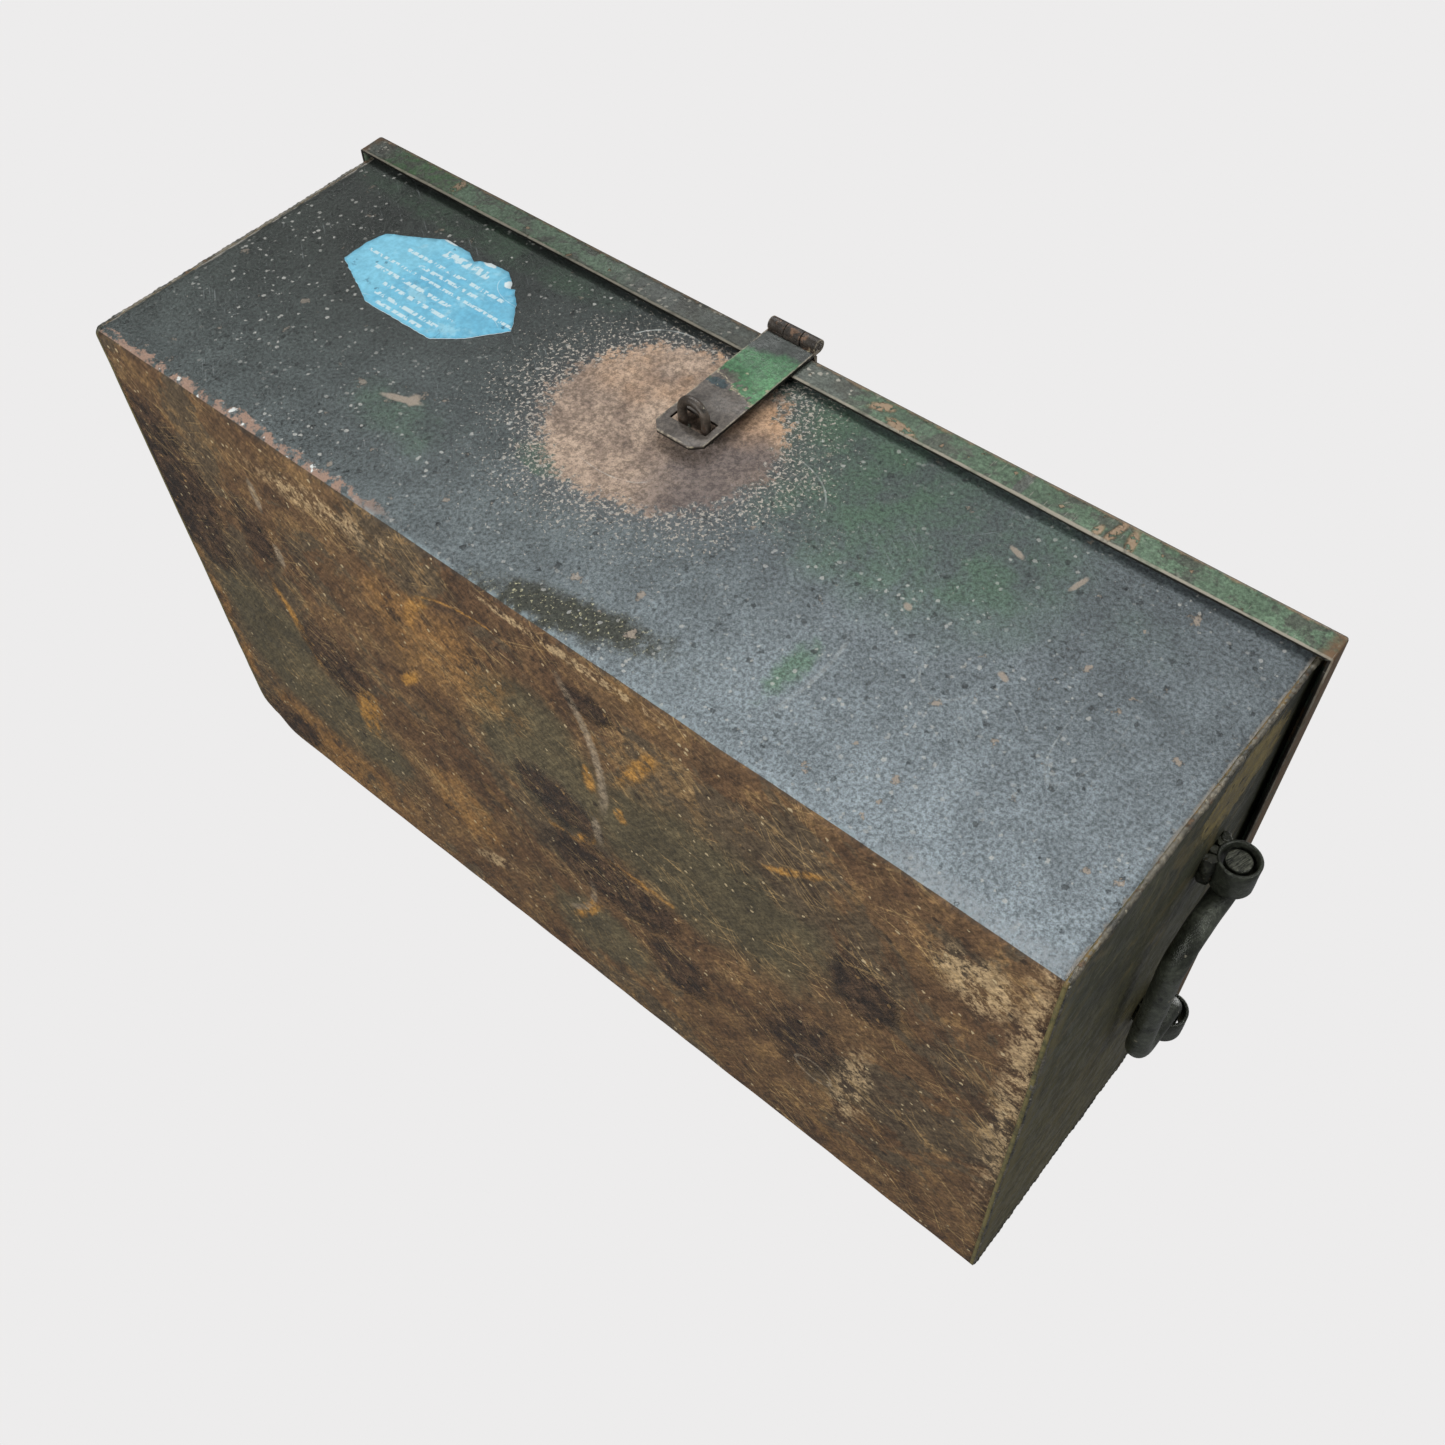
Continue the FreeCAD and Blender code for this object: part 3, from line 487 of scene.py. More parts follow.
    pale = f.most(
        f.arcs("XY", [
            (-80, -75, 135, 135, 0.03, 50, -100, 22, 50, 0.2),
            (-30, 50, 62, 62, 0.05, 20, 75, 20, 30, 0.3),
        ]),
        f.spots("XY", [
            (-195, -118, 3.5, 11, 0, 0.3, 0.4, 120), (-194, -72, 3.5, 9, 0, 0.3, 0.4, 120),
            (44, -22, 3.5, 12, 0, 0.3, 0.6, 120),
        ]),
        f.arc((0.19, 0.073, 0), (0.012, 0.01, 0), 0.12, (0.19, 0.073, 0), (0.02, 0.02, 0), 0.3),
    )
    rust = f.blend(rust, (148, 134, 118), pale, 0.75)
    lines = f.scratches(
        ((0.06, 0.0014, 0.01), (0, 0, 12), 0.12, 25),
        ((0.05, 0.0012, 0.01), (0, 0, -28), 0.1, 25),
        ((0.03, 0.0011, 0.01), (0, 0, 72), 0.1, 25),
        ((0.04, 0.0012, 0.01), (0, 0, 48), 0.12, 25),
    )
    rust = f.blend(rust, (164, 138, 98), lines, 0.75)
    brushed = f.noise(1.0, 4, 0.8, 0.0, f.local((0, 0, 0), (0.0022, 0.02, 0.02), (0, 0, 38)))
    rust = f.shade(rust, grain, 0.84, 1.16)
    rust = f.shade(rust, fine, 0.62, 1.36)
    rust = f.shade(rust, brushed, 0.78, 1.24)
    # The small bright specks over the rust are painted glints; the dark ones are pits.
    rust = f.coats(rust, [
        ((196, 178, 146), f.flecks(260, 0.3, 0.32), 0.75),
        ((40, 32, 27), f.flecks(150, 0.2, 0.34), 0.75),
    ])

    rim = f.fade(0.175 - abs(y) + f.ragged(60) * 0.01, 0.004, 0.0)
    rust = f.blend(rust, (46, 42, 38), rim, 0.7)

    rust = f.dim(rust, (250, 247, 236))
    coarse = (grain * 1.2 + fine) * (0.5 + rough_spots * 1.3)
    height = coarse + cloud * 0.8
    rough = f.fade(grain, 0.4, 0.6, 0.52, 0.78) - smooth * 0.12
    return f.done(rust, rough, f.bump(height, 2.4 * MM, 1.0))


def end_finish():
    """Dark olive paint rubbed brown, with one scabbed tan patch."""
    f = Finish("end_paint", specular=0.45)
    x, y, z = f.axis("X"), f.axis("Y"), f.axis("Z")
    brown = f.fade(y - z * 0.6 + f.swing(12, 0.09), -0.22, 0.06)
    paint = f.blend((60, 61, 47), (96, 88, 67), brown)
    paint = f.blend(paint, (46, 46, 36), f.fade(z, 0.1, 0.19), 0.85)
    grain = f.noise(110, 5, 0.76)
    paint = f.shade(paint, f.noise(46, 6, 0.76, 0.5), 0.66, 1.28)
    paint = f.shade(paint, f.noise(360, 3, 0.75), 0.7, 1.28)
    paint = f.blend(paint, (112, 98, 72), f.mottle([28, 6, 0.72, 0.8], 0.54, 0.62), 0.6)
    patch = f.most(
        f.spot((0.305, -0.14, 0.15), (0.1, 0.026, 0.036), grain=110, ragged=0.45),
        f.spot((-0.305, 0.09, 0.06), (0.1, 0.034, 0.026), grain=110, ragged=0.45),
    )
    scab = f.blend((116, 100, 70), (158, 138, 102), f.fade(grain, 0.4, 0.6))
    scab = f.blend(scab, (50, 42, 30), f.flecks(170, 0.5, 0.4))
    paint = f.blend(paint, scab, patch, 0.85)
    corner = f.most(
        f.arc(
            (0.305, -0.155, 0.042), (0.1, 0.03, 0.03), 0.03, (0.305, -0.14, 0.07),
            (0.1, 0.02, 0.008), 0.3,
        ),
        f.arc(
            (0.305, -0.145, 0.055), (0.1, 0.028, 0.04), 0.03, (0.305, -0.118, 0.06),
            (0.1, 0.006, 0.02), 0.3,
        ),
    )
    lines = f.scratches(
        ((0.01, 0.0009, 0.03), (22, 0, 0), 0.05, 22),
        ((0.01, 0.03, 0.0008), (-18, 0, 0), 0.05, 22),
        ((0.01, 0.026, 0.0008), (32, 0, 0), 0.05, 22),
    )
    paint = f.blend(paint, (142, 134, 112), f.most(corner, lines * 0.6), 0.7)
    low = f.fade(z + f.swing(50, 0.004), 0.017, 0.009)
    paint = f.blend(paint, (120, 108, 82), low * f.fade(grain, 0.4, 0.58, 0.1, 0.8))
    front = f.fade(y + f.ragged(60) * 0.012, -0.169, -0.174)
    paint = f.blend(paint, (112, 90, 66), front * f.fade(grain, 0.42, 0.54, 0.1, 0.9))
    specks = f.flecks(120, 0.2, 0.28)
    paint = f.blend(paint, (150, 138, 112), specks, 0.6)
    paint = f.dim(paint, (232, 235, 194))
    height = f.noise(500, 3, 0.6) * 0.4 + grain * (0.6 + patch)
    return f.done(paint, f.fade(grain, 0.4, 0.6, 0.45, 0.7), f.bump(height, 1.3 * MM, 1.0))


def back_finish():
    """The hidden rear wall: the same charcoal over green with runs of rust."""
    f = Finish("back_paint", specular=0.5)
    z = f.axis("Z")
    grain = f.noise(520, 4, 0.8)
    paint = f.blend((64, 70, 65), (84, 91, 91), f.mottle([7, 5, 0.6, 0.4], 0.35, 0.65))
    paint = f.blend(paint, (60, 86, 66), f.mottle([14, 6, 0.7, 0.4], 0.54, 0.58), 0.5)
    paint = f.shade(paint, f.noise(42, 6, 0.76, 0.5), 0.84, 1.12)
    paint = f.shade(paint, grain, 0.66, 1.32)
    runs = f.noise(1.0, 6, 0.7, 0.2, f.local((0, 0, 0), (0.016, 0.05, 0.09)))
    paint = f.blend(paint, (116, 88, 62), f.fade(runs, 0.58, 0.7), 0.7)
    low = f.fade(z + f.swing(30, 0.012, 6), 0.03, 0.004)
    paint = f.blend(paint, (108, 84, 60), low * f.mottle([60, 6, 0.7], 0.38, 0.56))
    chips = f.most(f.flecks(95, 0.24, 0.24, 1.5), f.flecks(330, 0.35, 0.34) * 0.8)
    paint = f.blend(paint, (150, 138, 120), chips, 0.8)
    lines = f.scratches(
        ((0.0008, 0.01, 0.03), (0, 40, 0), 0.05, 30),
        ((0.0007, 0.01, 0.025), (0, -62, 0), 0.05, 30),
    )
    paint = f.blend(paint, (140, 142, 136), lines, 0.5)
    height = grain * 0.9 - chips * 0.4
    return f.done(paint, f.mottle([20, 5], 0.3, 0.7, 0.38, 0.6), f.bump(height, 1.4 * MM, 1.0))


def inside_finish():
    """The inside of the body and lid: thin green paint, dark specks and ring stains."""
    f = Finish("inside_paint", specular=0.35)
    paint = f.blend((66, 84, 68), (98, 110, 94), f.mottle([9, 6, 0.62, 0.5], 0.35, 0.65))
    paint = f.blend(paint, (112, 84, 56), f.mottle([17, 8, 0.7, 0.7], 0.54, 0.64), 0.85)
    paint = f.shade(paint, f.noise(70, 8, 0.74), 0.72, 1.22)
    paint = f.blend(paint, (50, 46, 38), f.flecks(90, 0.25, 0.4), 0.7)
    lines = f.scratches(
        ((0.05, 0.0009, 0.01), (0, 0, 8), 0.06, 14),
        ((0.04, 0.0008, 0.01), (0, 0, -40), 0.06, 16),
    )
    paint = f.blend(paint, (150, 148, 136), lines, 0.6)
    height = f.noise(600, 4, 0.6) * 0.3 + f.noise(90, 6, 0.7) * 0.6
    return f.done(paint, f.mottle([30, 5], 0.3, 0.7, 0.5, 0.8), f.bump(height, 0.5 * MM, 0.8))


def lid_finish():
    """Green paint, speckled and chipped to tan steel along the rim's edges."""
    f = Finish("lid_paint", specular=0.22)
    x, y, z = f.axis("X"), f.axis("Y"), f.axis("Z")
    paint = f.blend((66, 84, 66), (92, 114, 92), f.mottle([11, 6, 0.62, 0.4], 0.35, 0.65))
    dull = f.most(
        f.fade(abs(x + 0.035) + f.swing(30, 0.03), 0.1, 0.03),
        f.fade(x + f.swing(60, 0.008), -0.286, -0.296),
        f.spots("XZ", [
            (150, 205, 3, 10, 0, 0.12, 0.45, 140), (30, 205, 20, 20, 0, 0.12, 0.45, 90),
        ]),
    )
    front = f.fade(y, -0.17, -0.178)
    paint = f.blend(paint, (82, 84, 80), dull * front, 0.85)
    fresh = f.spot((-0.262, -0.18, 0.205), (0.026, 0.02, 0.016), grain=60, ragged=0.4, edge=0.4)
    paint = f.coats(paint, [
        ((62, 92, 56), fresh, 0.85),
        ((66, 68, 60), f.mottle([48, 6, 0.74, 0.5], 0.49, 0.56), 0.8),
    ])
    paint = f.shade(paint, f.noise(80, 6, 0.76, 0.4), 0.78, 1.18)
    paint = f.shade(paint, f.noise(460, 3, 0.8), 0.58, 1.4)

    ragged = f.swing(95, 0.003, 6, 0.72)
    fold = f.fade(0.214 - z + ragged, 0.0042, 0.0012)
    sides = f.most(abs(x) - 0.3104, abs(y) - 0.1804)
    near = f.fade(sides + ragged, -0.0046, -0.0016)
    worn = fold * near
    lower = f.fade(z + ragged * 0.15, 0.1976, 0.1966)
    ends = f.fade(abs(x) + f.swing(80, 0.005), 0.302, 0.309)
    patch = f.fade(f.ragged(130), -0.14, -0.04)
    chips = f.most(f.flecks(85, 0.2, 0.3, 0.9), f.flecks(210, 0.25, 0.34) * 0.8)
    pale = f.flecks(300, 0.75, 0.4, 1.8) * (dull * front)
    torn = f.most(
        f.spot((0.2, -0.18, 0.204), (0.0022, 0.02, 0.011), (0, 10, 0), 0.3, 0.5, 220),
        f.spot((0.209, -0.18, 0.203), (0.0026, 0.02, 0.008), (0, -12, 0), 0.3, 0.5, 220),
        f.spot((0.193, -0.18, 0.2), (0.0022, 0.02, 0.004), (0, 0, 0), 0.3, 0.5, 220),
        f.spot((0.067, -0.18, 0.206), (0.007, 0.02, 0.003), (0, -25, 0), 0.3, 0.6, 180),
        f.spot((0.082, -0.18, 0.199), (0.009, 0.02, 0.003), (0, 10, 0), 0.3, 0.6, 180),
        f.spot((-0.235, -0.18, 0.206), (0.003, 0.02, 0.006), (0, 0, 0), 0.3, 0.6, 200),
    )
    steel = f.blend((122, 96, 74), (170, 146, 118), f.noise(130, 6, 0.7))
    colour = f.blend(paint, steel, worn * patch, 0.9)
    torn = torn * f.fade(f.ragged(300), -0.07, -0.03)
    colour = f.coats(colour, [
        (steel, f.most(chips, torn), 0.85),
        ((168, 164, 152), pale, 0.7),
        ((108, 86, 64), ends * f.mottle([60, 6, 0.7], 0.32, 0.5)),
    ])
    bright = f.fade(f.ragged(60), -0.15, 0.05, 0.35, 1.0)
    colour = f.blend(colour, (150, 144, 130), lower * bright)
    # Near-black along the inside of the rim's lower edge: painted shade of the gap between lid and body.
    inner = f.fade(sides, -0.0005, -0.0008) * f.fade(z, 0.1985, 0.1975)
    colour = f.blend(colour, (24, 23, 20), inner, 0.95)

    top = f.fade(z, 0.2125, 0.2135)
    stain = top * f.mottle([12, 8, 0.7, 0.8], 0.5, 0.62)
    colour = f.blend(colour, (116, 90, 62), stain, 0.8)
    lines = f.scratches(
        ((0.06, 0.0009, 0.01), (0, 0, 10), 0.06, 12),
        ((0.05, 0.0008, 0.01), (0, 0, -34), 0.06, 14),
        ((0.04, 0.0008, 0.01), (0, 0, 80), 0.06, 16),
    )
    colour = f.blend(colour, (150, 150, 138), lines, 0.5)
    # The rim is darkened, most on the left: painted shade; the top is a little darker overall.
    left = f.fade(x, -0.05, 0.05, 0.5, 0.86)
    colour = f.dim(colour, f.most(left * f.fade(z, 0.2125, 0.2115), top * 0.8))
    height = f.noise(650, 4, 0.6) * 0.3 + f.noise(95, 6, 0.68) * 0.6
    height = height - f.most(chips, torn, worn) * 0.5
    rough = f.mottle([25, 5], 0.3, 0.7, 0.4, 0.58) + f.most(worn, ends) * 0.15
    return f.done(colour, rough, f.bump(height, 1.2 * MM, 1.0))


def strap_finish():
    """Bright green above, bare brown-grey steel below, pale where the edges are rubbed."""
    f = Finish("strap_paint", specular=0.22)
    x, y, z = f.axis("X"), f.axis("Y"), f.axis("Z")
    green = f.blend((58, 104, 68), (86, 140, 94), f.mottle([34, 5], 0.35, 0.65))
    green = f.shade(green, f.noise(160, 5, 0.7), 0.85, 1.12)
    steel = f.blend((74, 68, 62), (112, 104, 96), f.mottle([50, 7, 0.7], 0.35, 0.65))
    dark = f.blend((54, 58, 55), (76, 82, 78), f.noise(90, 5))
    ragged = z + (f.ragged(60) * 0.016 + f.ragged(300) * 0.01)
    slope = ragged + (x - STRAP_X) * 0.34
    painted = f.fade(slope, 0.169, 0.1696)
    chipped = f.fade(f.ragged(130), 0.035, 0.045) * f.fade(slope, 0.184, 0.17)
    painted = painted * (1.0 - chipped)
    left_over = f.fade(f.ragged(130), -0.055, -0.065) * f.fade(slope, 0.16, 0.168)
    painted = f.most(painted, left_over * 0.9)
    seam = f.fade(abs(slope - 0.1692), 0.0011, 0.0005)
    seam = seam * f.fade(f.ragged(60), -0.05, 0.05)
    teal = f.spot((-0.007, 0, 0.1675), (0.006, 0, 0.0028), grain=300, ragged=0.9)
    colour = f.blend(steel, green, painted)
    colour = f.coats(colour, [
        ((34, 60, 66), teal, 0.9),
        ((206, 194, 164), seam, 0.7),
    ])
    head = f.fade(ragged + (x - STRAP_X) * -0.22, 0.197, 0.204)
    colour = f.blend(colour, dark, head)
    barrel = f.fade(z + f.ragged(130) * 0.004, 0.2125, 0.214)
    rusty = f.blend((64, 58, 52), (112, 88, 70), f.fade(f.ragged(130), 0.02, 0.08))
    colour = f.blend(colour, rusty, barrel)
    specks = f.flecks(300, 0.3, 0.34)
    colour = f.blend(colour, (178, 168, 140), specks, 0.7)
    side = abs(x - STRAP_X)
    rubbed = f.fade(side + f.ragged(300) * 0.0014, 0.0146, 0.0153)
    foot = f.fade(z + f.ragged(300) * 0.0014, 0.124, 0.1232)
    rub = f.most(rubbed, foot) * f.fade(f.ragged(130), -0.08, 0.05)
    colour = f.blend(colour, (158, 148, 130), rub, 0.8)
    # The strap's sides and the faces behind its front are near-black: painted shade.
    painted_side_shade = f.fade(side, 0.01558, 0.01566) * f.fade(z, 0.214, 0.212)
    colour = f.blend(colour, (30, 27, 23), painted_side_shade, 0.9)
    painted_flank_shade = f.fade(y, -0.1829, -0.1824) * f.fade(z, 0.214, 0.212)
    colour = f.blend(colour, (36, 33, 29), painted_flank_shade, 0.92)
    colour = f.shade(colour, f.noise(420, 3, 0.75), 0.4, 0.84)
    height = painted * 0.4 + f.noise(330, 4, 0.7) * 0.7
    rough = f.mottle([60, 4], 0.4, 0.6, 0.36, 0.58)
    return f.done(colour, rough, f.bump(height, 0.8 * MM, 1.0))


def steel_finish(name, dark, light, rust, rusty=0.5, rough=0.4, grain=1.0, metallic=0.25, rubbed_and_glint=0.15):
    """Dark handled steel: two mottled tones, rust in a share of it, bright specks that are partly rubbed
    steel and partly painted glints.
    """
    f = Finish(name, metallic=metallic, specular=0.5)
    tone = f.blend(dark, light, f.mottle([60 * grain, 7, 0.68, 0.3], 0.35, 0.66))
    scale = f.mottle([95 * grain, 8, 0.72, 0.4], 0.72 - 0.3 * rusty, 0.8 - 0.3 * rusty)
    tone = f.blend(tone, rust, scale, 0.85)
    tone = f.shade(tone, f.noise(420, 3, 0.75), 0.66, 1.34)
    # Dark pits, and bright specks that are partly rubbed steel and partly painted glints.
    tone = f.coats(tone, [
        ((24, 23, 20), f.flecks(240 * grain, 0.35, 0.36), 0.75),
        ((160, 154, 134), f.flecks(280 * grain, rubbed_and_glint, 0.32), 0.75),
    ])
    height = f.noise(260 * grain, 6, 0.7) * 0.7 + scale * 0.4
    sheen = f.mottle([80, 5], 0.3, 0.7, rough - 0.08, rough + 0.1) + scale * 0.25
    return f.done(tone, sheen, f.bump(height, 0.9 * MM, 1.0))


def sawn_finish():
    """The sawn ends of the handle rods: parallel grooves in dull steel."""
    f = Finish("sawn_steel", metallic=0.2)
    grooves = f.noise(1.0, 3, 0.6, 0.4, f.local((0, 0, 0), (0.0009, 0.02, 0.006), (0, 18, 0)))
    tone = f.blend((34, 36, 31), (104, 106, 92), f.fade(grooves, 0.4, 0.6))
    tone = f.shade(tone, f.noise(500, 3, 0.7), 0.75, 1.2)
    return f.done(tone, f.fade(grooves, 0.3, 0.7, 0.6, 0.4), f.bump(grooves, 0.8 * MM, 1.0))


# Rows of faded print on the label, as blank bars: height, middle, length and thickness.
PRINT_BARS = [
    (0.1620, -0.184, 0.034, 0.0070),
    (0.1515, -0.183, 0.074, 0.0032),
    (0.1452, -0.182, 0.044, 0.0032),
    (0.1388, -0.182, 0.114, 0.0026),
    (0.1308, -0.195, 0.060, 0.0034),
    (0.1228, -0.183, 0.054, 0.0032),
    (0.1152, -0.183, 0.048, 0.0032),
    (0.1098, -0.183, 0.034, 0.0030),
]


def label_finish():
    """A sky-blue printed film, smudged and creased, torn white along its edge."""
    f = Finish("label_film", specular=0.15)
    x, z = f.axis("X"), f.axis("Z")
    blue = f.blend((104, 172, 200), (128, 190, 212), f.mottle([22, 5], 0.38, 0.62))
    blue = f.blend(blue, (158, 202, 216), f.mottle([45, 6, 0.7], 0.53, 0.62), 0.6)
    grime = f.mottle([70, 8, 0.75, 0.8], 0.58, 0.68) * f.fade(z, 0.16, 0.12)
    blue = f.coats(blue, [
        ((60, 96, 112), grime, 0.65),
        ((48, 78, 92), f.flecks(230, 0.12, 0.34), 0.6),
    ])
    blue = f.shade(blue, f.noise(300, 4, 0.7), 0.88, 1.08)
    creases = f.arcs("XZ", [
        (-150, 90, 40, 50, 0.006, -146, 142, 14, 20, 0.3),
        (-140, 165, 20, 12, 0.02, -152, 158, 20, 10, 0.3),
        (-200, 100, 20, 12, 0.02, -218, 112, 10, 10, 0.3),
    ])
    blue = f.blend(blue, (206, 226, 232), creases, 0.7)
    bars = f.most(*[
        f.fade(abs(z - height), 0.5 * thick, 0.3 * thick)
        * f.fade(abs(x - place), 0.5 * length + MM, 0.5 * length)
        for height, place, length, thick in PRINT_BARS
    ])
    print_wear = f.fade(
        f.noise(1.0, 3, 0.6, 0.0, f.local((0, 0, 0), (0.0024, 1, 0.006))), 0.47, 0.5
    )
    blue = f.blend(blue, (204, 218, 220), bars * (print_wear * 0.85))
    paper = f.spots("XZ", [
        (-153, 164, 3, 2.6, 0, 0.12, 0.5, 300), (-174.5, 170, 5, 1.6, 0, 0.12, 0.5, 300),
        (-206, 170.8, 6, 1, 0, 0.12, 0.5, 300),
    ])
    blue = f.blend(blue, (226, 230, 228), paper, 0.9)
    blue = f.dim(blue, (219, 224, 225))
    pressed = f.noise(26, 4) * 1.2 + f.noise(380, 4) * 0.25
    height = pressed + creases * 0.6
    return f.done(
        blue, f.mottle([60, 5], 0.3, 0.7, 0.55, 0.75), f.bump(height, 0.25 * MM, 0.8)
    )


def label_edge_finish():
    f = Finish("label_paper", specular=0.3)
    white = f.blend((196, 214, 220), (236, 238, 236), f.noise(260, 5, 0.7))
    return f.done(white, 0.8, f.bump(f.noise(600), 0.1 * MM))


def tray_finish():
    """Worn grey-green paint of the lift-out tray with rust at the folds."""
    f = Finish("tray_paint", specular=0.45)
    z = f.axis("Z")
    paint = f.blend((78, 92, 82), (112, 122, 112), f.mottle([12, 6, 0.62, 0.4], 0.35, 0.65))
    paint = f.shade(paint, f.noise(65, 8, 0.74, 0.4), 0.74, 1.2)
    rust = f.blend((92, 66, 44), (132, 98, 64), f.noise(120, 6, 0.7))
    bald = f.mottle([26, 8, 0.72, 0.6], 0.56, 0.62)
    low = f.fade(z + f.swing(50, 0.006, 6), 0.15, 0.1415)
    top = f.fade(z + f.swing(90, 0.0016, 6), 0.1964, 0.1978)
    colour = f.blend(paint, rust, f.most(bald * 0.7, low * 0.6), 0.9)
    colour = f.blend(colour, (152, 146, 130), top * f.mottle([70, 5], 0.35, 0.55))
    chips = f.flecks(110, 0.12, 0.3, 0.9)
    colour = f.blend(colour, (120, 98, 72), chips, 0.8)
    lines = f.scratches(
        ((0.04, 0.0009, 0.02), (0, 0, 10), 0.06, 18),
        ((0.03, 0.0008, 0.02), (0, 0, -42), 0.06, 18),
        ((0.0008, 0.0008, 0.03), (14, 20, 0), 0.05, 24),
    )
    colour = f.blend(colour, (168, 168, 156), lines, 0.6)
    height = f.noise(600, 4, 0.6) * 0.3 + f.noise(100, 6, 0.7) * 0.5
    height = height - f.most(chips, bald) * 0.35
    return f.done(
        colour, f.mottle([30, 5], 0.3, 0.7, 0.42, 0.66), f.bump(height, 0.45 * MM, 0.8)
    )


FRONT = front_finish()
BOTTOM = bottom_finish()
END = end_finish()
BACK = back_finish()
INSIDE = inside_finish()
LID = lid_finish()
STRAP = strap_finish()
SAWN = sawn_finish()
LABEL = label_finish()
TRAY = tray_finish()
BEAD = steel_finish("weld_bead", (46, 46, 40), (104, 98, 84), (104, 80, 58), 0.5, 0.40, 1.5, 0.1, 0.6)
DARK = steel_finish("dark_steel", (50, 44, 38), (84, 75, 66), (98, 70, 48), 0.6, 0.36)
ROD = steel_finish("rod_steel", (44, 47, 39), (80, 84, 73), (84, 72, 50), 0.35, 0.33)
HINGE = steel_finish("hinge_steel", (58, 66, 58), (92, 100, 92), (108, 80, 56), 0.5, 0.42)
RAIL = steel_finish("rail_steel", (62, 74, 62), (96, 104, 92), (110, 82, 54), 0.55, 0.48, 0.7, 0.1)
WELD = steel_finish("weld_steel", (34, 36, 30), (78, 80, 66), (90, 74, 50), 0.5, 0.38, 1.5)
PAPER = label_edge_finish()

# ------------------------------------------------------------------------------- sheet metal


def smooth(value, start, end):
    """Smooth step between 0 at start and 1 at end."""
    part = min(max((value - start) / (end - start), 0.0), 1.0)
    return part * part * (3 - 2 * part)


def wave(point, scale, seed):
    return noise.noise(point * scale + Vector((seed * 17.3, seed * 5.1, seed * 9.7)))


CRUSHED = Vector((-BODY_X, BODY_Y, 0))
CRUSH_PUSH = Vector((0.0030, -0.0035, 0.0030))
CRUSH_REACH = 0.016
TRAY_REACH_X = 165 * MM
TRAY_REACH_Y = 170 * MM


def weather(point):
    """Where a point of the body's sheet has gone: slow waves, dings and one crushed corner."""
    calm = smooth(point.z, 0.200, 0.120)
    free_x = (point.x / BODY_X) ** 4
    free_y = (point.y / BODY_Y) ** 4
    free_z = 1 - smooth(point.z, 0.0, 0.02)
    wall_x = 0.5 * MM * wave(point, 14, 1) * free_x * math.copysign(1, point.x)
    wall_y = 0.6 * MM * wave(point, 11, 2) * free_y * math.copysign(1, point.y)
    wall_y *= 0.25 + 0.75 * calm
    bottom = (0.5 * abs(wave(point, 9, 3)) + 0.35 * abs(wave(point, 40, 4))) * MM * free_z
    push = Vector((wall_x, wall_y, bottom))
    push += CRUSH_PUSH * math.exp(-(((point - CRUSHED).length / CRUSH_REACH) ** 2))
    return point + push


def lid_weather(point):
    """The lid's own waves: its rim bends a little in and out, and its edge up and down."""
    low = 1 - smooth(point.z, lid_low.z, lid_high.z)
    side = Vector((point.x / lid_high.x, point.y / lid_high.y, 0))
    bend = 0.45 * MM * wave(point, 16, 5) * low
    edge = 0.55 * MM * wave(point, 22, 6) * low
    top = -0.5 * MM * abs(wave(point, 8, 7)) * (1 - low)
    return point + side * bend + Vector((0, 0, edge + top))


def tray_weather(point):
    """The tray's walls, drawn in a little by waves that grow towards the open edge."""
    high = smooth(point.z, pan_low.z, pan_high.z)
    middle = (pan_low + pan_high) / 2
    side = Vector(((point.x - middle.x) / TRAY_REACH_X, (point.y - middle.y) / TRAY_REACH_Y, 0))
    return point + side * (-0.4 * MM * abs(wave(point, 15, 8)) * high)


def make_piece(name, bm, body, materials, replaces=(), sharp=40):
    """Turns a bmesh into an object that rides on a body and stands for CAD nodes."""
    mesh = bpy.data.meshes.new(name)
    bm.to_mesh(mesh)
    bm.free()
    for material in materials:
        mesh.materials.append(material)
    mesh.polygons.foreach_set("use_smooth", [True] * len(mesh.polygons))
    mesh.set_sharp_from_angle(angle=math.radians(sharp))
    piece = bpy.data.objects.new(name, mesh)
    scene.collection.objects.link(piece)
    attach(piece, body)
    if replaces:
        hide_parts(*replaces)
    return piece


def thicken(piece, thickness, shift=0):
    """Gives an outer skin its sheet thickness, inwards, with the inside's own materials."""
    skin = piece.modifiers.new("sheet", "SOLIDIFY")
    skin.thickness = thickness
    skin.offset = -1
    skin.use_even_offset = True
    skin.material_offset = shift
    return skin


def slice_up(bm, low, high, steps):
    """Cuts a mesh by evenly spaced planes along each axis, so that it can bend."""
    for axis in range(3):
        if not steps[axis]:
            continue
        count = max(int((high[axis] - low[axis]) / steps[axis]), 1)
        normal = Vector([1.0 if i == axis else 0.0 for i in range(3)])
        for i in range(1, count):
            place = low[axis] + (high[axis] - low[axis]) * i / count
            geometry = bm.verts[:] + bm.edges[:] + bm.faces[:]
            bmesh.ops.bisect_plane(
                bm, geom=geometry, dist=1e-7, plane_co=normal * place, plane_no=normal
            )


def look_towards(bm, direction):
    """Turns a skin over if most of its area faces away from a direction."""
    bm.normal_update()
    if sum(face.normal.dot(direction) * face.calc_area() for face in bm.faces) < 0:
        bmesh.ops.reverse_faces(bm, faces=bm.faces[:])


def end_outline():
    """The body's cross-section from the front's top edge round the folds to the back's."""
    points = [(-BODY_Y, BODY_Z), (-BODY_Y, FOLD)]
    steps = 6
    for i in range(1, steps + 1):
        turn = math.pi / 2 * i / steps
        points.append((-BODY_Y + FOLD * (1 - math.cos(turn)), FOLD * (1 - math.sin(turn))))
    return points + [(-y, z) for y, z in reversed(points)]


BOTTOM_SHARE = 0.30


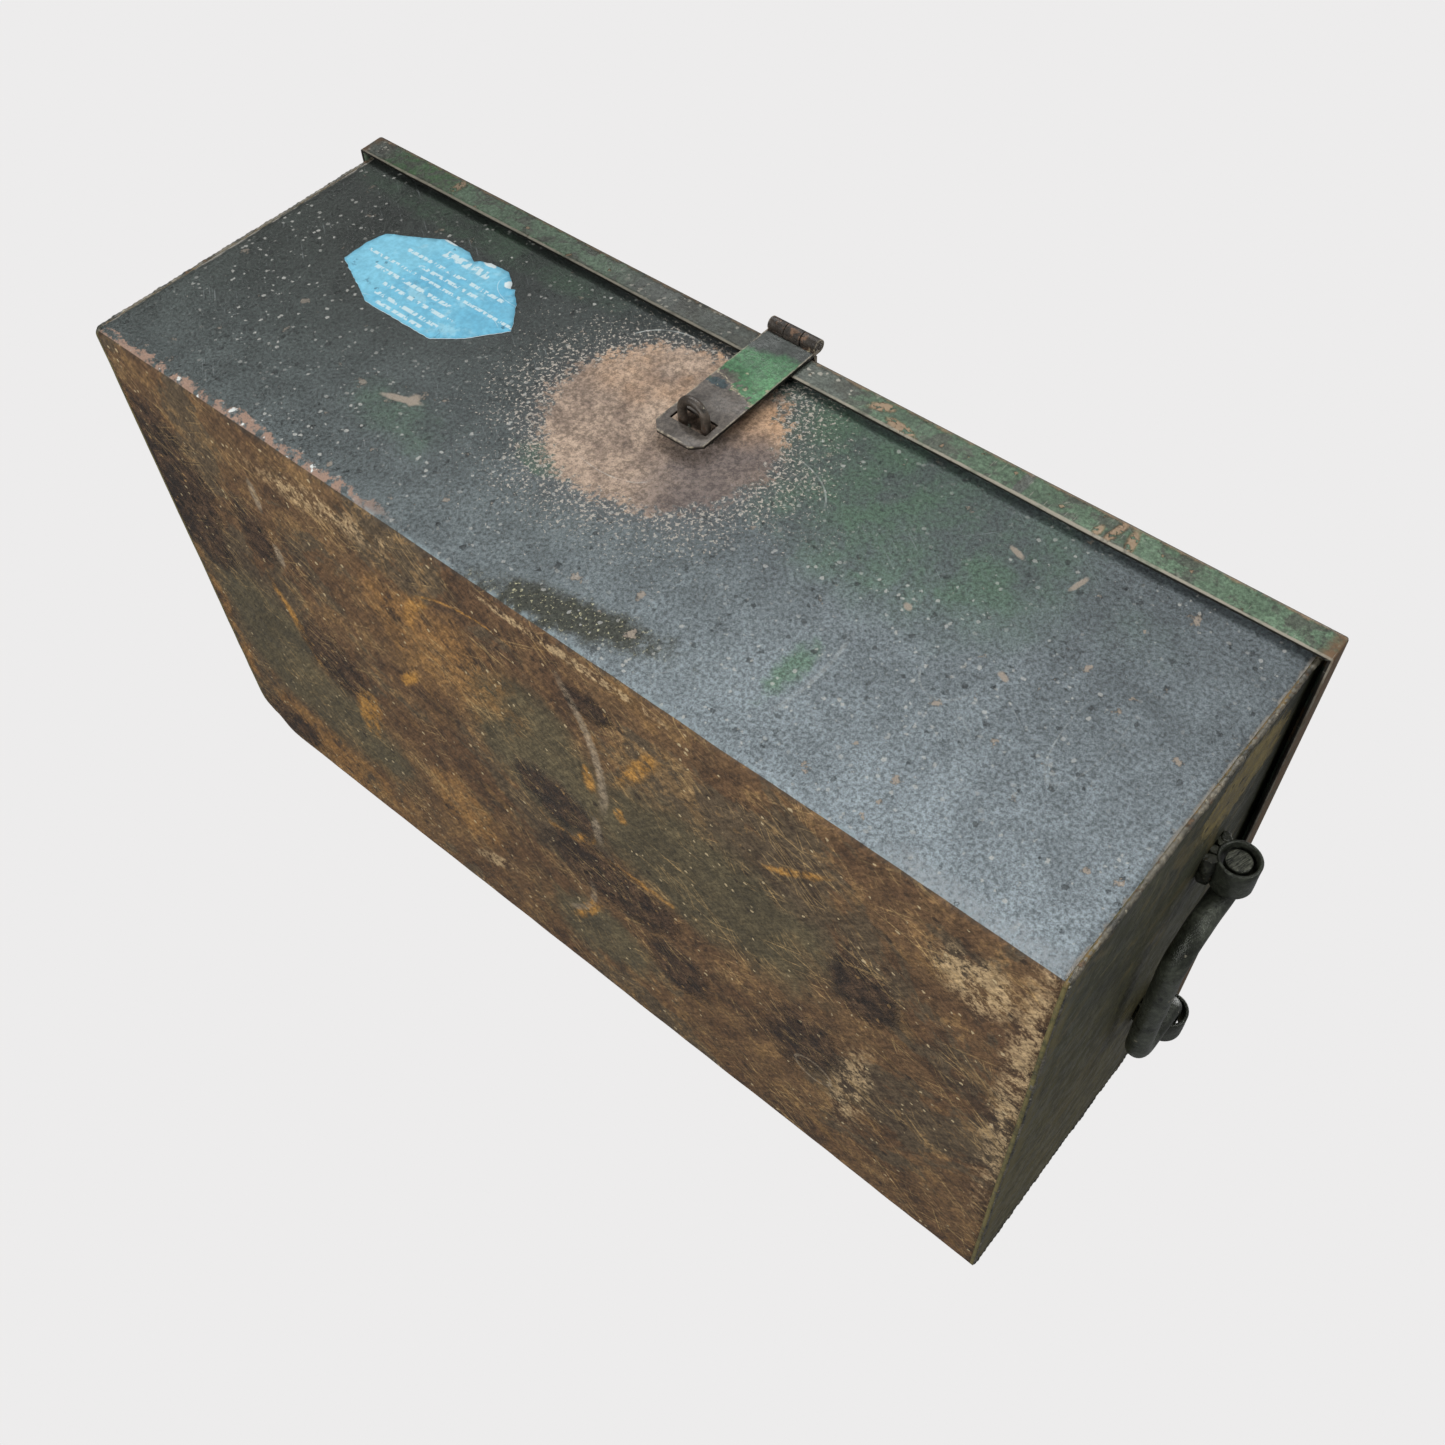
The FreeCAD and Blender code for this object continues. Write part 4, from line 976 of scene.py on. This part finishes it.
def make_tub():
    """The folded sheet; below a share of the fold's height it wears the bottom's rust."""
    outline = end_outline()
    path = []
    for (y0, z0), (y1, z1) in zip(outline, outline[1:]):
        count = max(int(math.hypot(y1 - y0, z1 - z0) / (5 * MM)), 1)
        path += [(y0 + (y1 - y0) * i / count, z0 + (z1 - z0) * i / count) for i in range(count)]
    path.append(outline[-1])
    bm = bmesh.new()
    columns = 121
    half = tub_high.x
    rows = []
    for i in range(columns + 1):
        x = -half + 2 * half * i / columns
        rows.append([bm.verts.new(weather(Vector((x, y, z)))) for y, z in path])
    for first, second in zip(rows, rows[1:]):
        for i in range(len(path) - 1):
            face = bm.faces.new((first[i], second[i], second[i + 1], first[i + 1]))
            middle_z = (path[i][1] + path[i + 1][1]) / 2
            if middle_z < BOTTOM_SHARE * FOLD:
                face.material_index = 1
            elif path[i][0] > 0:
                face.material_index = 2
    bmesh.ops.recalc_face_normals(bm, faces=bm.faces[:])
    look_towards(bm, Vector((0, 0, -1)))
    materials = [FRONT, BOTTOM, BACK, INSIDE, INSIDE, INSIDE]
    tub = make_piece("tub", bm, "box", materials, ["body_tub"], 60)
    thicken(tub, SHEET, 3)


def make_end_plate(side, sign):
    bm = bmesh.new()
    ring = [bm.verts.new((sign * BODY_X, y, z)) for y, z in end_outline()]
    bm.faces.new(ring)
    slice_up(bm, (0, -BODY_Y, 0), (0, BODY_Y, BODY_Z), (0, 6 * MM, 6 * MM))
    for vert in bm.verts:
        vert.co = weather(vert.co)
    look_towards(bm, Vector((sign, 0, 0)))
    nodes = [f"end_panel_{side}"]
    plate = make_piece(f"end_plate_{side}", bm, "box", [END, INSIDE], nodes)
    thicken(plate, SHEET, 1)


def rings_to_mesh(bm, rings, material_index=0):
    for first, second in zip(rings, rings[1:]):
        count = len(first)
        for i in range(count):
            j = (i + 1) % count
            face = bm.faces.new((first[i], first[j], second[j], second[i]))
            face.material_index = material_index


def pan_rings(low, high, fold, corner, opening):
    """Rings of a pan's outer skin from its open edge over the fold to its closed face."""
    middle = (low + high) / 2
    half = (high - low) / 2
    start, end = (low.z, high.z) if opening < 0 else (high.z, low.z)
    lean = math.copysign(1, end - start)
    levels = [(0.0, start), (0.0, end - lean * fold)]
    for i in range(1, 6):
        turn = math.pi / 2 * i / 5
        levels.append((fold * (1 - math.cos(turn)), end - lean * fold * (1 - math.sin(turn))))
    rings = []
    for inset, z in levels:
        radius = max(corner - inset, 0.2 * MM)
        ring = []
        for quarter, (sx, sy) in enumerate(((1, 1), (-1, 1), (-1, -1), (1, -1))):
            cx = middle.x + sx * (half.x - inset - radius)
            cy = middle.y + sy * (half.y - inset - radius)
            for i in range(4):
                turn = math.pi / 2 * (quarter + i / 3)
                ring.append(Vector((cx + radius * math.cos(turn), cy + radius * math.sin(turn), z)))
        rings.append(ring)
    return rings


def make_pan(low, high, fold, corner, opening, steps, bend):
    """The outer skin of a folded pan, cut up and bent; opening is -1 below and 1 above."""
    bm = bmesh.new()
    outline = pan_rings(low, high, fold, corner, opening)
    rings = [[bm.verts.new(point) for point in ring] for ring in outline]
    rings_to_mesh(bm, rings)
    bm.faces.new(rings[-1])
    slice_up(bm, low, high, steps)
    for vert in bm.verts:
        vert.co = bend(vert.co)
    bmesh.ops.recalc_face_normals(bm, faces=bm.faces[:])
    look_towards(bm, Vector((0, 0, -opening)))
    return bm


def make_lid():
    steps = (9 * MM, 9 * MM, 3 * MM)
    bm = make_pan(lid_low, lid_high, 3 * MM, 1.6 * MM, -1, steps, lid_weather)
    lid = make_piece("lid", bm, "lid", [LID, INSIDE], ["lid_panel"], 50)
    thicken(lid, SHEET, 1)


def make_tray():
    steps = (10 * MM, 10 * MM, 8 * MM)
    bm = make_pan(pan_low, pan_high, 3 * MM, 3 * MM, 1, steps, tray_weather)
    tray = make_piece("tray", bm, "tray", [TRAY], ["tray_pan"], 50)
    thicken(tray, TRAY_SHEET)


# -------------------------------------------------------------------------- rods, pipes, beads


def rounded_path(corners, bends, step=3 * MM, arc_steps=10):
    """Points along a polyline whose inner corners are rounded by the given radii."""
    points = [Vector(corners[0])]

    def run_to(goal):
        start = points[-1]
        count = max(int((goal - start).length / step), 1)
        points.extend(start.lerp(goal, i / count) for i in range(1, count + 1))

    for before, corner, after, radius in zip(corners, corners[1:], corners[2:], bends):
        corner = Vector(corner)
        into = (corner - Vector(before)).normalized()
        out = (Vector(after) - corner).normalized()
        angle = into.angle(out)
        reach = radius * math.tan(angle / 2)
        run_to(corner - into * reach)
        side = (out - into * into.dot(out)).normalized()
        centre = corner - into * reach + side * radius
        for i in range(1, arc_steps + 1):
            turn = angle * i / arc_steps
            points.append(centre - side * radius * math.cos(turn) + into * radius * math.sin(turn))
    run_to(Vector(corners[-1]))
    return points


# The rings of a rod's end cap: share of the rod's radius and rise.
CAP_RINGS = ((0.94, 0.25 * MM), (0.78, 0.34 * MM), (0.5, 0.36 * MM), (0.25, 0.36 * MM))


def sweep(bm, path, radius, sides=20, lumps=0.0, grain=120, ripple=0.0, pitch=2 * MM, cap_depth=0.0,
          seed=1, cap_material=0, taper=0.0):
    """A rod along a path, with lumps of noise, a weld's ripples, and sawn or domed ends."""
    last = len(path) - 1
    tangents = [(path[min(i + 1, last)] - path[max(i - 1, 0)]).normalized() for i in range(last + 1)]
    side = tangents[0].orthogonal().normalized()
    rings = []
    travelled = 0.0
    for i, (point, tangent) in enumerate(zip(path, tangents)):
        if i:
            travelled += (point - path[i - 1]).length
        side = (side - tangent * side.dot(tangent)).normalized()
        other = tangent.cross(side)
        swell = 1 + ripple * math.cos(2 * math.pi * travelled / pitch)
        swell *= 1 - taper * (1 - math.sin(math.pi * i / last))
        ring = []
        for k in range(sides):
            turn = 2 * math.pi * k / sides
            out = side * math.cos(turn) + other * math.sin(turn)
            place = point + out * radius
            reach = radius * swell + lumps * wave(place, grain, seed)
            ring.append(bm.verts.new(point + out * reach))
        rings.append(ring)
    rings_to_mesh(bm, rings)
    for end, out in ((0, -tangents[0]), (-1, tangents[-1])):
        ring, point = rings[end], path[end]
        inner = []
        for share, rise in CAP_RINGS:
            level = []
            for vert in ring:
                place = point + (vert.co - point) * share
                groove = wave(Vector((place.x * 0.3, place.y, place.z * 1.6)), 420, seed + 3)
                level.append(bm.verts.new(place + out * (rise + cap_depth * groove)))
            inner.append(level)
        rings_to_mesh(bm, [ring] + inner[:1])
        rings_to_mesh(bm, inner, cap_material)
        bm.faces.new(inner[-1]).material_index = cap_material


def finish_solid(bm):
    bmesh.ops.recalc_face_normals(bm, faces=bm.faces[:])
    return bm


def make_handle(side):
    low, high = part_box(f"handle_{side}")
    rod = (high.x - low.x) / 2
    axis_x = (low.x + high.x) / 2
    eye_z = high.z - rod
    grip_z = low.z + rod
    middle = (low.y + high.y) / 2
    leg = 60 * MM
    turns = ((low.y, eye_z), (middle - leg, eye_z), (middle - leg, grip_z), (middle + leg, grip_z),
             (middle + leg, eye_z), (high.y, eye_z))
    corners = [(axis_x, y, z) for y, z in turns]
    bends = [8 * MM, 22 * MM, 22 * MM, 8 * MM]
    bm = bmesh.new()
    path = rounded_path(corners, bends, 2.5 * MM, 12)
    sweep(bm, path, rod, 28, lumps=0.28 * MM, grain=70, cap_depth=0.4 * MM, seed=11, cap_material=1)
    name = f"handle_{side}"
    make_piece(f"bail_{name}", finish_solid(bm), name, [ROD, SAWN], [name], 60)


PIPE_WALL = 1.95 * MM
# The runs of weld that hold a pipe eye: height from its middle, radius and reach, in millimetres.
EYE_WELDS = ((7.6, 3.9, 3.0), (-7.8, 4.2, 3.1), (3.2, 3.2, 2.2), (-3.0, 3.2, 2.2))


def make_eye(side, sign, end):
    """A short pipe with rubbed rims, and the lumpy weld that holds it to the end plate."""
    name = f"handle_eye_{side}_{end}"
    low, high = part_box(name)
    outer = (high.z - low.z) / 2
    bore = outer - PIPE_WALL
    centre_x = (high.x - outer) if sign > 0 else (low.x + outer)
    centre_z = (low.z + high.z) / 2
    bm = bmesh.new()
    edge = 0.45 * MM
    middle = (low.y + high.y) / 2
    quarter = 0.25 * (high.y - low.y)
    wall = [
        (bore, low.y + edge), (bore + edge, low.y), (outer - edge, low.y), (outer, low.y + edge),
        (outer, low.y + quarter), (outer, middle), (outer, high.y - quarter), (outer, high.y - edge),
        (outer - edge, high.y), (bore + edge, high.y), (bore, high.y - edge), (bore, middle),
    ]
    around = 48
    rings = []
    for k in range(around):
        turn = 2 * math.pi * k / around
        ring = []
        for radius, y in wall:
            across, up = math.cos(turn), math.sin(turn)
            place = Vector((centre_x + radius * across, y, centre_z + radius * up))
            drift = 0.16 * MM * wave(place, 130, 12) if radius > bore + 0.1 * MM else 0
            along = 0 if low.y + MM < y < high.y - MM else 0.5
            ring.append(bm.verts.new(place + Vector((across, along, up)) * drift))
        rings.append(ring)
    rings_to_mesh(bm, rings + [rings[0]])
    make_piece(f"pipe_eye_{side}_{end}", finish_solid(bm), "box", [ROD], [name], 55)

    weld = bmesh.new()
    plate_x = sign * BODY_X
    inset = 0.6 * MM
    for rise, radius, reach in EYE_WELDS:
        x = plate_x + sign * reach * MM
        z = centre_z + rise * MM
        path = rounded_path([(x, low.y + inset, z), (x, high.y - inset, z)], [], 0.9 * MM)
        for point in path:
            point.z += 0.5 * MM * wave(point, 160, 13)
        sweep(weld, path, radius * MM, 18, lumps=2.2 * MM, grain=210, ripple=0.05, pitch=2.6 * MM,
              cap_depth=0.3 * MM, seed=14 + int(rise), taper=0.35)
    make_piece(f"eye_weld_{side}_{end}", finish_solid(weld), "box", [WELD], (), 60)


def make_corner_beads(side, sign):
    """The rope-like weld where an end plate meets the tub, all round the cross-section."""
    inset = 0.9 * MM
    x = sign * (BODY_X - 0.7 * MM)
    low = 1.55 * MM
    corner = FOLD - inset
    y, high = BODY_Y - inset, BODY_Z - 1 * MM
    corners = [(x, -y, high), (x, -y, low), (x, y, low), (x, y, high)]
    path = [weather(point) for point in rounded_path(corners, [corner, corner], 0.8 * MM, 7)]
    for point in path:
        point.x += 0.25 * MM * wave(point, 60, 15) * sign
    bm = bmesh.new()
    sweep(bm, path, 1.35 * MM, 10, lumps=0.5 * MM, grain=170, ripple=0.10, pitch=3.4 * MM, seed=16)
    make_piece(f"corner_bead_{side}", finish_solid(bm), "box", [BEAD], (), 80)


def make_staple():
    centre = Vector((STRAP_X, 0, (staple_low.z + staple_high.z) / 2))
    rod = (staple_high.z - staple_low.z) / 2
    bow = (staple_high.x - staple_low.x) / 2 - rod
    turn_y = staple_low.y + rod + bow
    path = [Vector((centre.x - bow, -BODY_Y + (turn_y + BODY_Y) * i / 8, centre.z)) for i in range(9)]
    for i in range(1, 24):
        turn = math.pi * i / 24
        path.append(Vector((centre.x - bow * math.cos(turn), turn_y - bow * math.sin(turn), centre.z)))
    path += [Vector((centre.x + bow, turn_y - (turn_y + BODY_Y) * i / 8, centre.z)) for i in range(9)]
    bm = bmesh.new()
    sweep(bm, path, rod, 18, lumps=0.22 * MM, grain=150, seed=21)
    nodes = ["hasp_staple"]
    make_piece("padlock_staple", finish_solid(bm), "box", [DARK], nodes, 60)
    crumbs = bmesh.new()
    for foot in (-bow, bow):
        for i in range(7):
            turn = 2 * math.pi * i / 7
            place = Vector((centre.x + foot + 2.5 * MM * math.cos(turn), -BODY_Y + 0.2 * MM,
                            centre.z + 2.3 * MM * math.sin(turn)))
            bmesh.ops.create_icosphere(crumbs, subdivisions=3, radius=1.5 * MM,
                                       matrix=Matrix.Translation(place))
    for vert in crumbs.verts:
        vert.co += vert.normal * 0.7 * MM * wave(vert.co, 320, 22)
    make_piece("staple_weld", finish_solid(crumbs), "box", [WELD], (), 60)


# The label's outline, in shares of its width and height from its middle.
LABEL_OUTLINE = [
    (-0.490, -0.22), (-0.492, 0.05), (-0.470, 0.22), (-0.335, 0.355), (-0.206, 0.486), (-0.06, 0.478),
    (-0.020, 0.44), (0.004, 0.412), (0.030, 0.455), (0.080, 0.490), (0.186, 0.498), (0.262, 0.392),
    (0.280, 0.345), (0.296, 0.364), (0.312, 0.330), (0.370, 0.245), (0.487, -0.03), (0.410, -0.20),
    (0.360, -0.32), (0.238, -0.495), (0.050, -0.500), (-0.172, -0.498), (-0.330, -0.36),
]


def make_label():
    """A thin octagonal film that follows the wall, with a torn and nicked edge."""
    middle = (label_low + label_high) / 2
    width = label_high.x - label_low.x
    height = label_high.z - label_low.z
    bm = bmesh.new()
    ring = []
    for (a, b), (c, d) in zip(LABEL_OUTLINE, LABEL_OUTLINE[1:] + LABEL_OUTLINE[:1]):
        count = max(int(math.hypot((c - a) * width, (d - b) * height) / (1.2 * MM)), 1)
        for k in range(count):
            place = Vector((middle.x + width * (a + (c - a) * k / count), label_low.y,
                            middle.z + height * (b + (d - b) * k / count)))
            tear = Vector((wave(place, 300, 31), 0, wave(place, 300, 32))) * 0.55 * MM
            ring.append(bm.verts.new(place + tear))
    bm.faces.new(ring)
    slice_up(bm, label_low, label_high, (4 * MM, 0, 4 * MM))
    bmesh.ops.triangulate(bm, faces=[face for face in bm.faces if len(face.verts) > 4])
    for vert in bm.verts:
        lift = 0.10 * MM * (1 + wave(vert.co, 60, 33))
        vert.co = weather(vert.co) - Vector((0, lift, 0))
    look_towards(bm, Vector((0, -1, 0)))
    label = make_piece("blank_label", bm, "box", [LABEL, PAPER], ["label"], 80)
    skin = thicken(label, label_high.y - label_low.y)
    skin.material_offset_rim = 1


# ------------------------------------------------------------- small parts after the CAD shapes


SHARP_EDGE = 30


def soften(name, piece_name, material, width=0.35 * MM):
    """A copy of a CAD part with rubbed, rounded edges."""
    node = frame["nodes"][name]
    bm = bmesh.new()
    bm.from_mesh(node.data)
    bmesh.ops.remove_doubles(bm, verts=bm.verts[:], dist=1e-6)
    bmesh.ops.dissolve_limit(bm, angle_limit=math.radians(1), verts=bm.verts[:], edges=bm.edges[:])
    for face in bm.faces:
        face.material_index = 0
    piece = make_piece(piece_name, bm, body_of(node)[0], [material], [name], SHARP_EDGE)
    bevel = piece.modifiers.new("rubbed_edges", "BEVEL")
    bevel.width = width
    bevel.segments = 3
    bevel.limit_method = "ANGLE"
    bevel.angle_limit = math.radians(SHARP_EDGE)


def make_pin(name, piece_name):
    """A pin with slightly domed, hammered ends."""
    low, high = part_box(name)
    radius = (high.z - low.z) / 2
    centre = (low + high) / 2
    ends = [(x, centre.y, centre.z) for x in (low.x + 0.4 * MM, high.x - 0.4 * MM)]
    bm = bmesh.new()
    sweep(bm, rounded_path(ends, [], 2 * MM), radius - 0.02 * MM, cap_depth=0.12 * MM, seed=41)
    body = body_of(frame["nodes"][name])[0]
    make_piece(piece_name, finish_solid(bm), body, [DARK], [name], 50)


def make_tray_handle():
    rod = (grip_high.y - grip_low.y) / 2
    y = (grip_low.y + grip_high.y) / 2
    left, right = grip_low.x + rod, grip_high.x - rod
    top = grip_high.z - rod
    corners = [(left, y, grip_low.z), (left, y, top), (right, y, top), (right, y, grip_low.z)]
    bm = bmesh.new()
    sweep(bm, rounded_path(corners, [12 * MM, 12 * MM], 2.5 * MM), rod, 22, lumps=0.2 * MM, grain=90,
          cap_depth=0.2 * MM, seed=42)
    make_piece("tray_grip", finish_solid(bm), "tray", [ROD], ["tray_handle"], 60)
    weld = bmesh.new()
    for x in (left, right):
        for side in (-1, 1):
            place = (x + side * 3.6 * MM, grip_low.y + 0.9 * MM)
            ends = [(*place, grip_low.z + 2 * MM), (*place, grip_low.z + 22 * MM)]
            sweep(weld, rounded_path(ends, [], 0.8 * MM), 1.5 * MM, 10, lumps=0.5 * MM, grain=200,
                  ripple=0.08, pitch=2.4 * MM, seed=43)
    make_piece("tray_grip_weld", finish_solid(weld), "tray", [WELD], (), 70)


make_tub()
make_lid()
make_tray()
make_staple()
make_label()
make_tray_handle()
for side, sign in (("left", -1), ("right", 1)):
    make_end_plate(side, sign)
    make_corner_beads(side, sign)
    make_handle(side)
    for end in ("front", "back"):
        make_eye(side, sign, end)
    soften(f"hinge_leaf_body_{side}", f"butt_leaf_body_{side}", HINGE)
    soften(f"hinge_leaf_lid_{side}", f"butt_leaf_lid_{side}", HINGE)
    soften(f"hinge_spacer_{side}", f"packing_bar_{side}", BACK, 0.6 * MM)
    soften(f"tray_divider_short_{side}", f"short_divider_{side}", TRAY, 0.3 * MM)
    make_pin(f"hinge_pin_{side}", f"butt_pin_{side}")
soften("tray_divider_long", "long_divider", TRAY, 0.3 * MM)
for end in ("front", "back"):
    soften(f"tray_rail_{end}", f"angle_rail_{end}", RAIL, 0.5 * MM)
soften("hasp_strap", "strap", STRAP)
soften("hasp_leaf", "strap_leaf", STRAP)
make_pin("hasp_pin", "strap_pin")

# ------------------------------------------------------------------------ camera and studio

CAMERA_PLACE = Vector((0.3805, -0.6801, -0.2620))
CAMERA_AHEAD = Vector((-0.4034, 0.8044, 0.4361))
CAMERA_UP = Vector((-0.5055, -0.5932, 0.6266))
CAMERA_LENS = 37.06


def make_camera():
    data = bpy.data.cameras.new("camera")
    data.lens = CAMERA_LENS
    camera = bpy.data.objects.new("camera", data)
    scene.collection.objects.link(camera)
    back = -CAMERA_AHEAD.normalized()
    right = CAMERA_UP.cross(back).normalized()
    up = back.cross(right)
    turn = Matrix((right, up, back)).transposed()
    camera.matrix_world = Matrix.Translation(CAMERA_PLACE) @ turn.to_4x4()
    scene.camera = camera


# The studio's lights: name, place, the point it faces, its size and its power in watts.
LIGHTS = [
    ("key", (-1.15, -2.3, 1.35), (0.0, -0.15, 0.1), 0.4, 34),
    ("sheen", (-0.3, -1.9, 1.0), (0.0, -0.1, 0.1), 1.0, 14),
    ("low_fill", (0.0, -1.0, -1.5), (0, 0, 0), 0.7, 32),
    ("end_fill", (1.6, -1.0, 0.4), (0.3, 0, 0.1), 0.35, 4),
    ("rod_glint", (0.75, -1.9, 0.6), (0.33, -0.1, 0.1), 0.35, 6),
    ("top", (0.4, 0.3, 1.8), (0, 0, 0.1), 1.2, 13),
    ("back", (-0.6, 1.8, 1.0), (0, 0.1, 0.1), 1.2, 15),
]


def make_light(name, place, target, size, power):
    data = bpy.data.lights.new(name, "AREA")
    data.shape = "DISK"
    data.size = size
    data.energy = power
    light = bpy.data.objects.new(name, data)
    scene.collection.objects.link(light)
    light.location = place
    light.rotation_euler = (Vector(target) - Vector(place)).to_track_quat("-Z", "Y").to_euler()


# The floor: half its size, its drop below the object, and where it starts and ends to fade.
FLOOR_HALF = 6
FLOOR_DROP = 0.5 * MM
FLOOR_FADE = (0.7, 1.9)


def make_floor():
    """A pale floor, fading out with distance, that is seen from above only."""
    bm = bmesh.new()
    bmesh.ops.create_grid(bm, x_segments=1, y_segments=1, size=FLOOR_HALF)
    mesh = bpy.data.meshes.new("floor")
    bm.to_mesh(mesh)
    floor = bpy.data.objects.new("floor", mesh)
    floor.location.z = -FLOOR_DROP
    scene.collection.objects.link(floor)
    f = Finish("floor_paint", specular=0.2)
    f.done(f.blend((226, 225, 225), (230, 229, 229), f.noise(3)), 0.9)
    below = f.value(f.node("NewGeometry"), "Backfacing")
    clear = f.most(below, f.fade(f.length(f.here), *FLOOR_FADE))
    mix = f.node("MixShader")
    for socket, value in enumerate((clear, f.value(f.shader), f.value(f.node("BsdfTransparent")))):
        f.feed(mix.inputs[socket], value)
    f.feed(f.output.inputs[0], f.value(mix))
    mesh.materials.append(f.material)
    floor.visible_shadow = False
    floor.visible_diffuse = False
    floor.visible_glossy = False


ROOM_LIGHT = 0.24


def make_world():
    """Pale paper behind the object, and a dimmer room around it for the light it gives."""
    world = bpy.data.worlds.new("studio")
    world.use_nodes = True
    nodes, links = world.node_tree.nodes, world.node_tree.links
    paper = nodes["Background"]
    paper.inputs["Color"].default_value = srgb(237, 236, 236)
    room = nodes.new("ShaderNodeBackground")
    room.inputs["Color"].default_value = srgb(237, 238, 240)
    room.inputs["Strength"].default_value = ROOM_LIGHT
    mix = nodes.new("ShaderNodeMixShader")
    links.new(nodes.new("ShaderNodeLightPath").outputs["Is Camera Ray"], mix.inputs[0])
    links.new(room.outputs[0], mix.inputs[1])
    links.new(paper.outputs[0], mix.inputs[2])
    links.new(mix.outputs[0], nodes["World Output"].inputs[0])
    scene.world = world


make_camera()
make_world()
make_floor()
for light in LIGHTS:
    make_light(*light)
scene.view_settings.view_transform = "Standard"
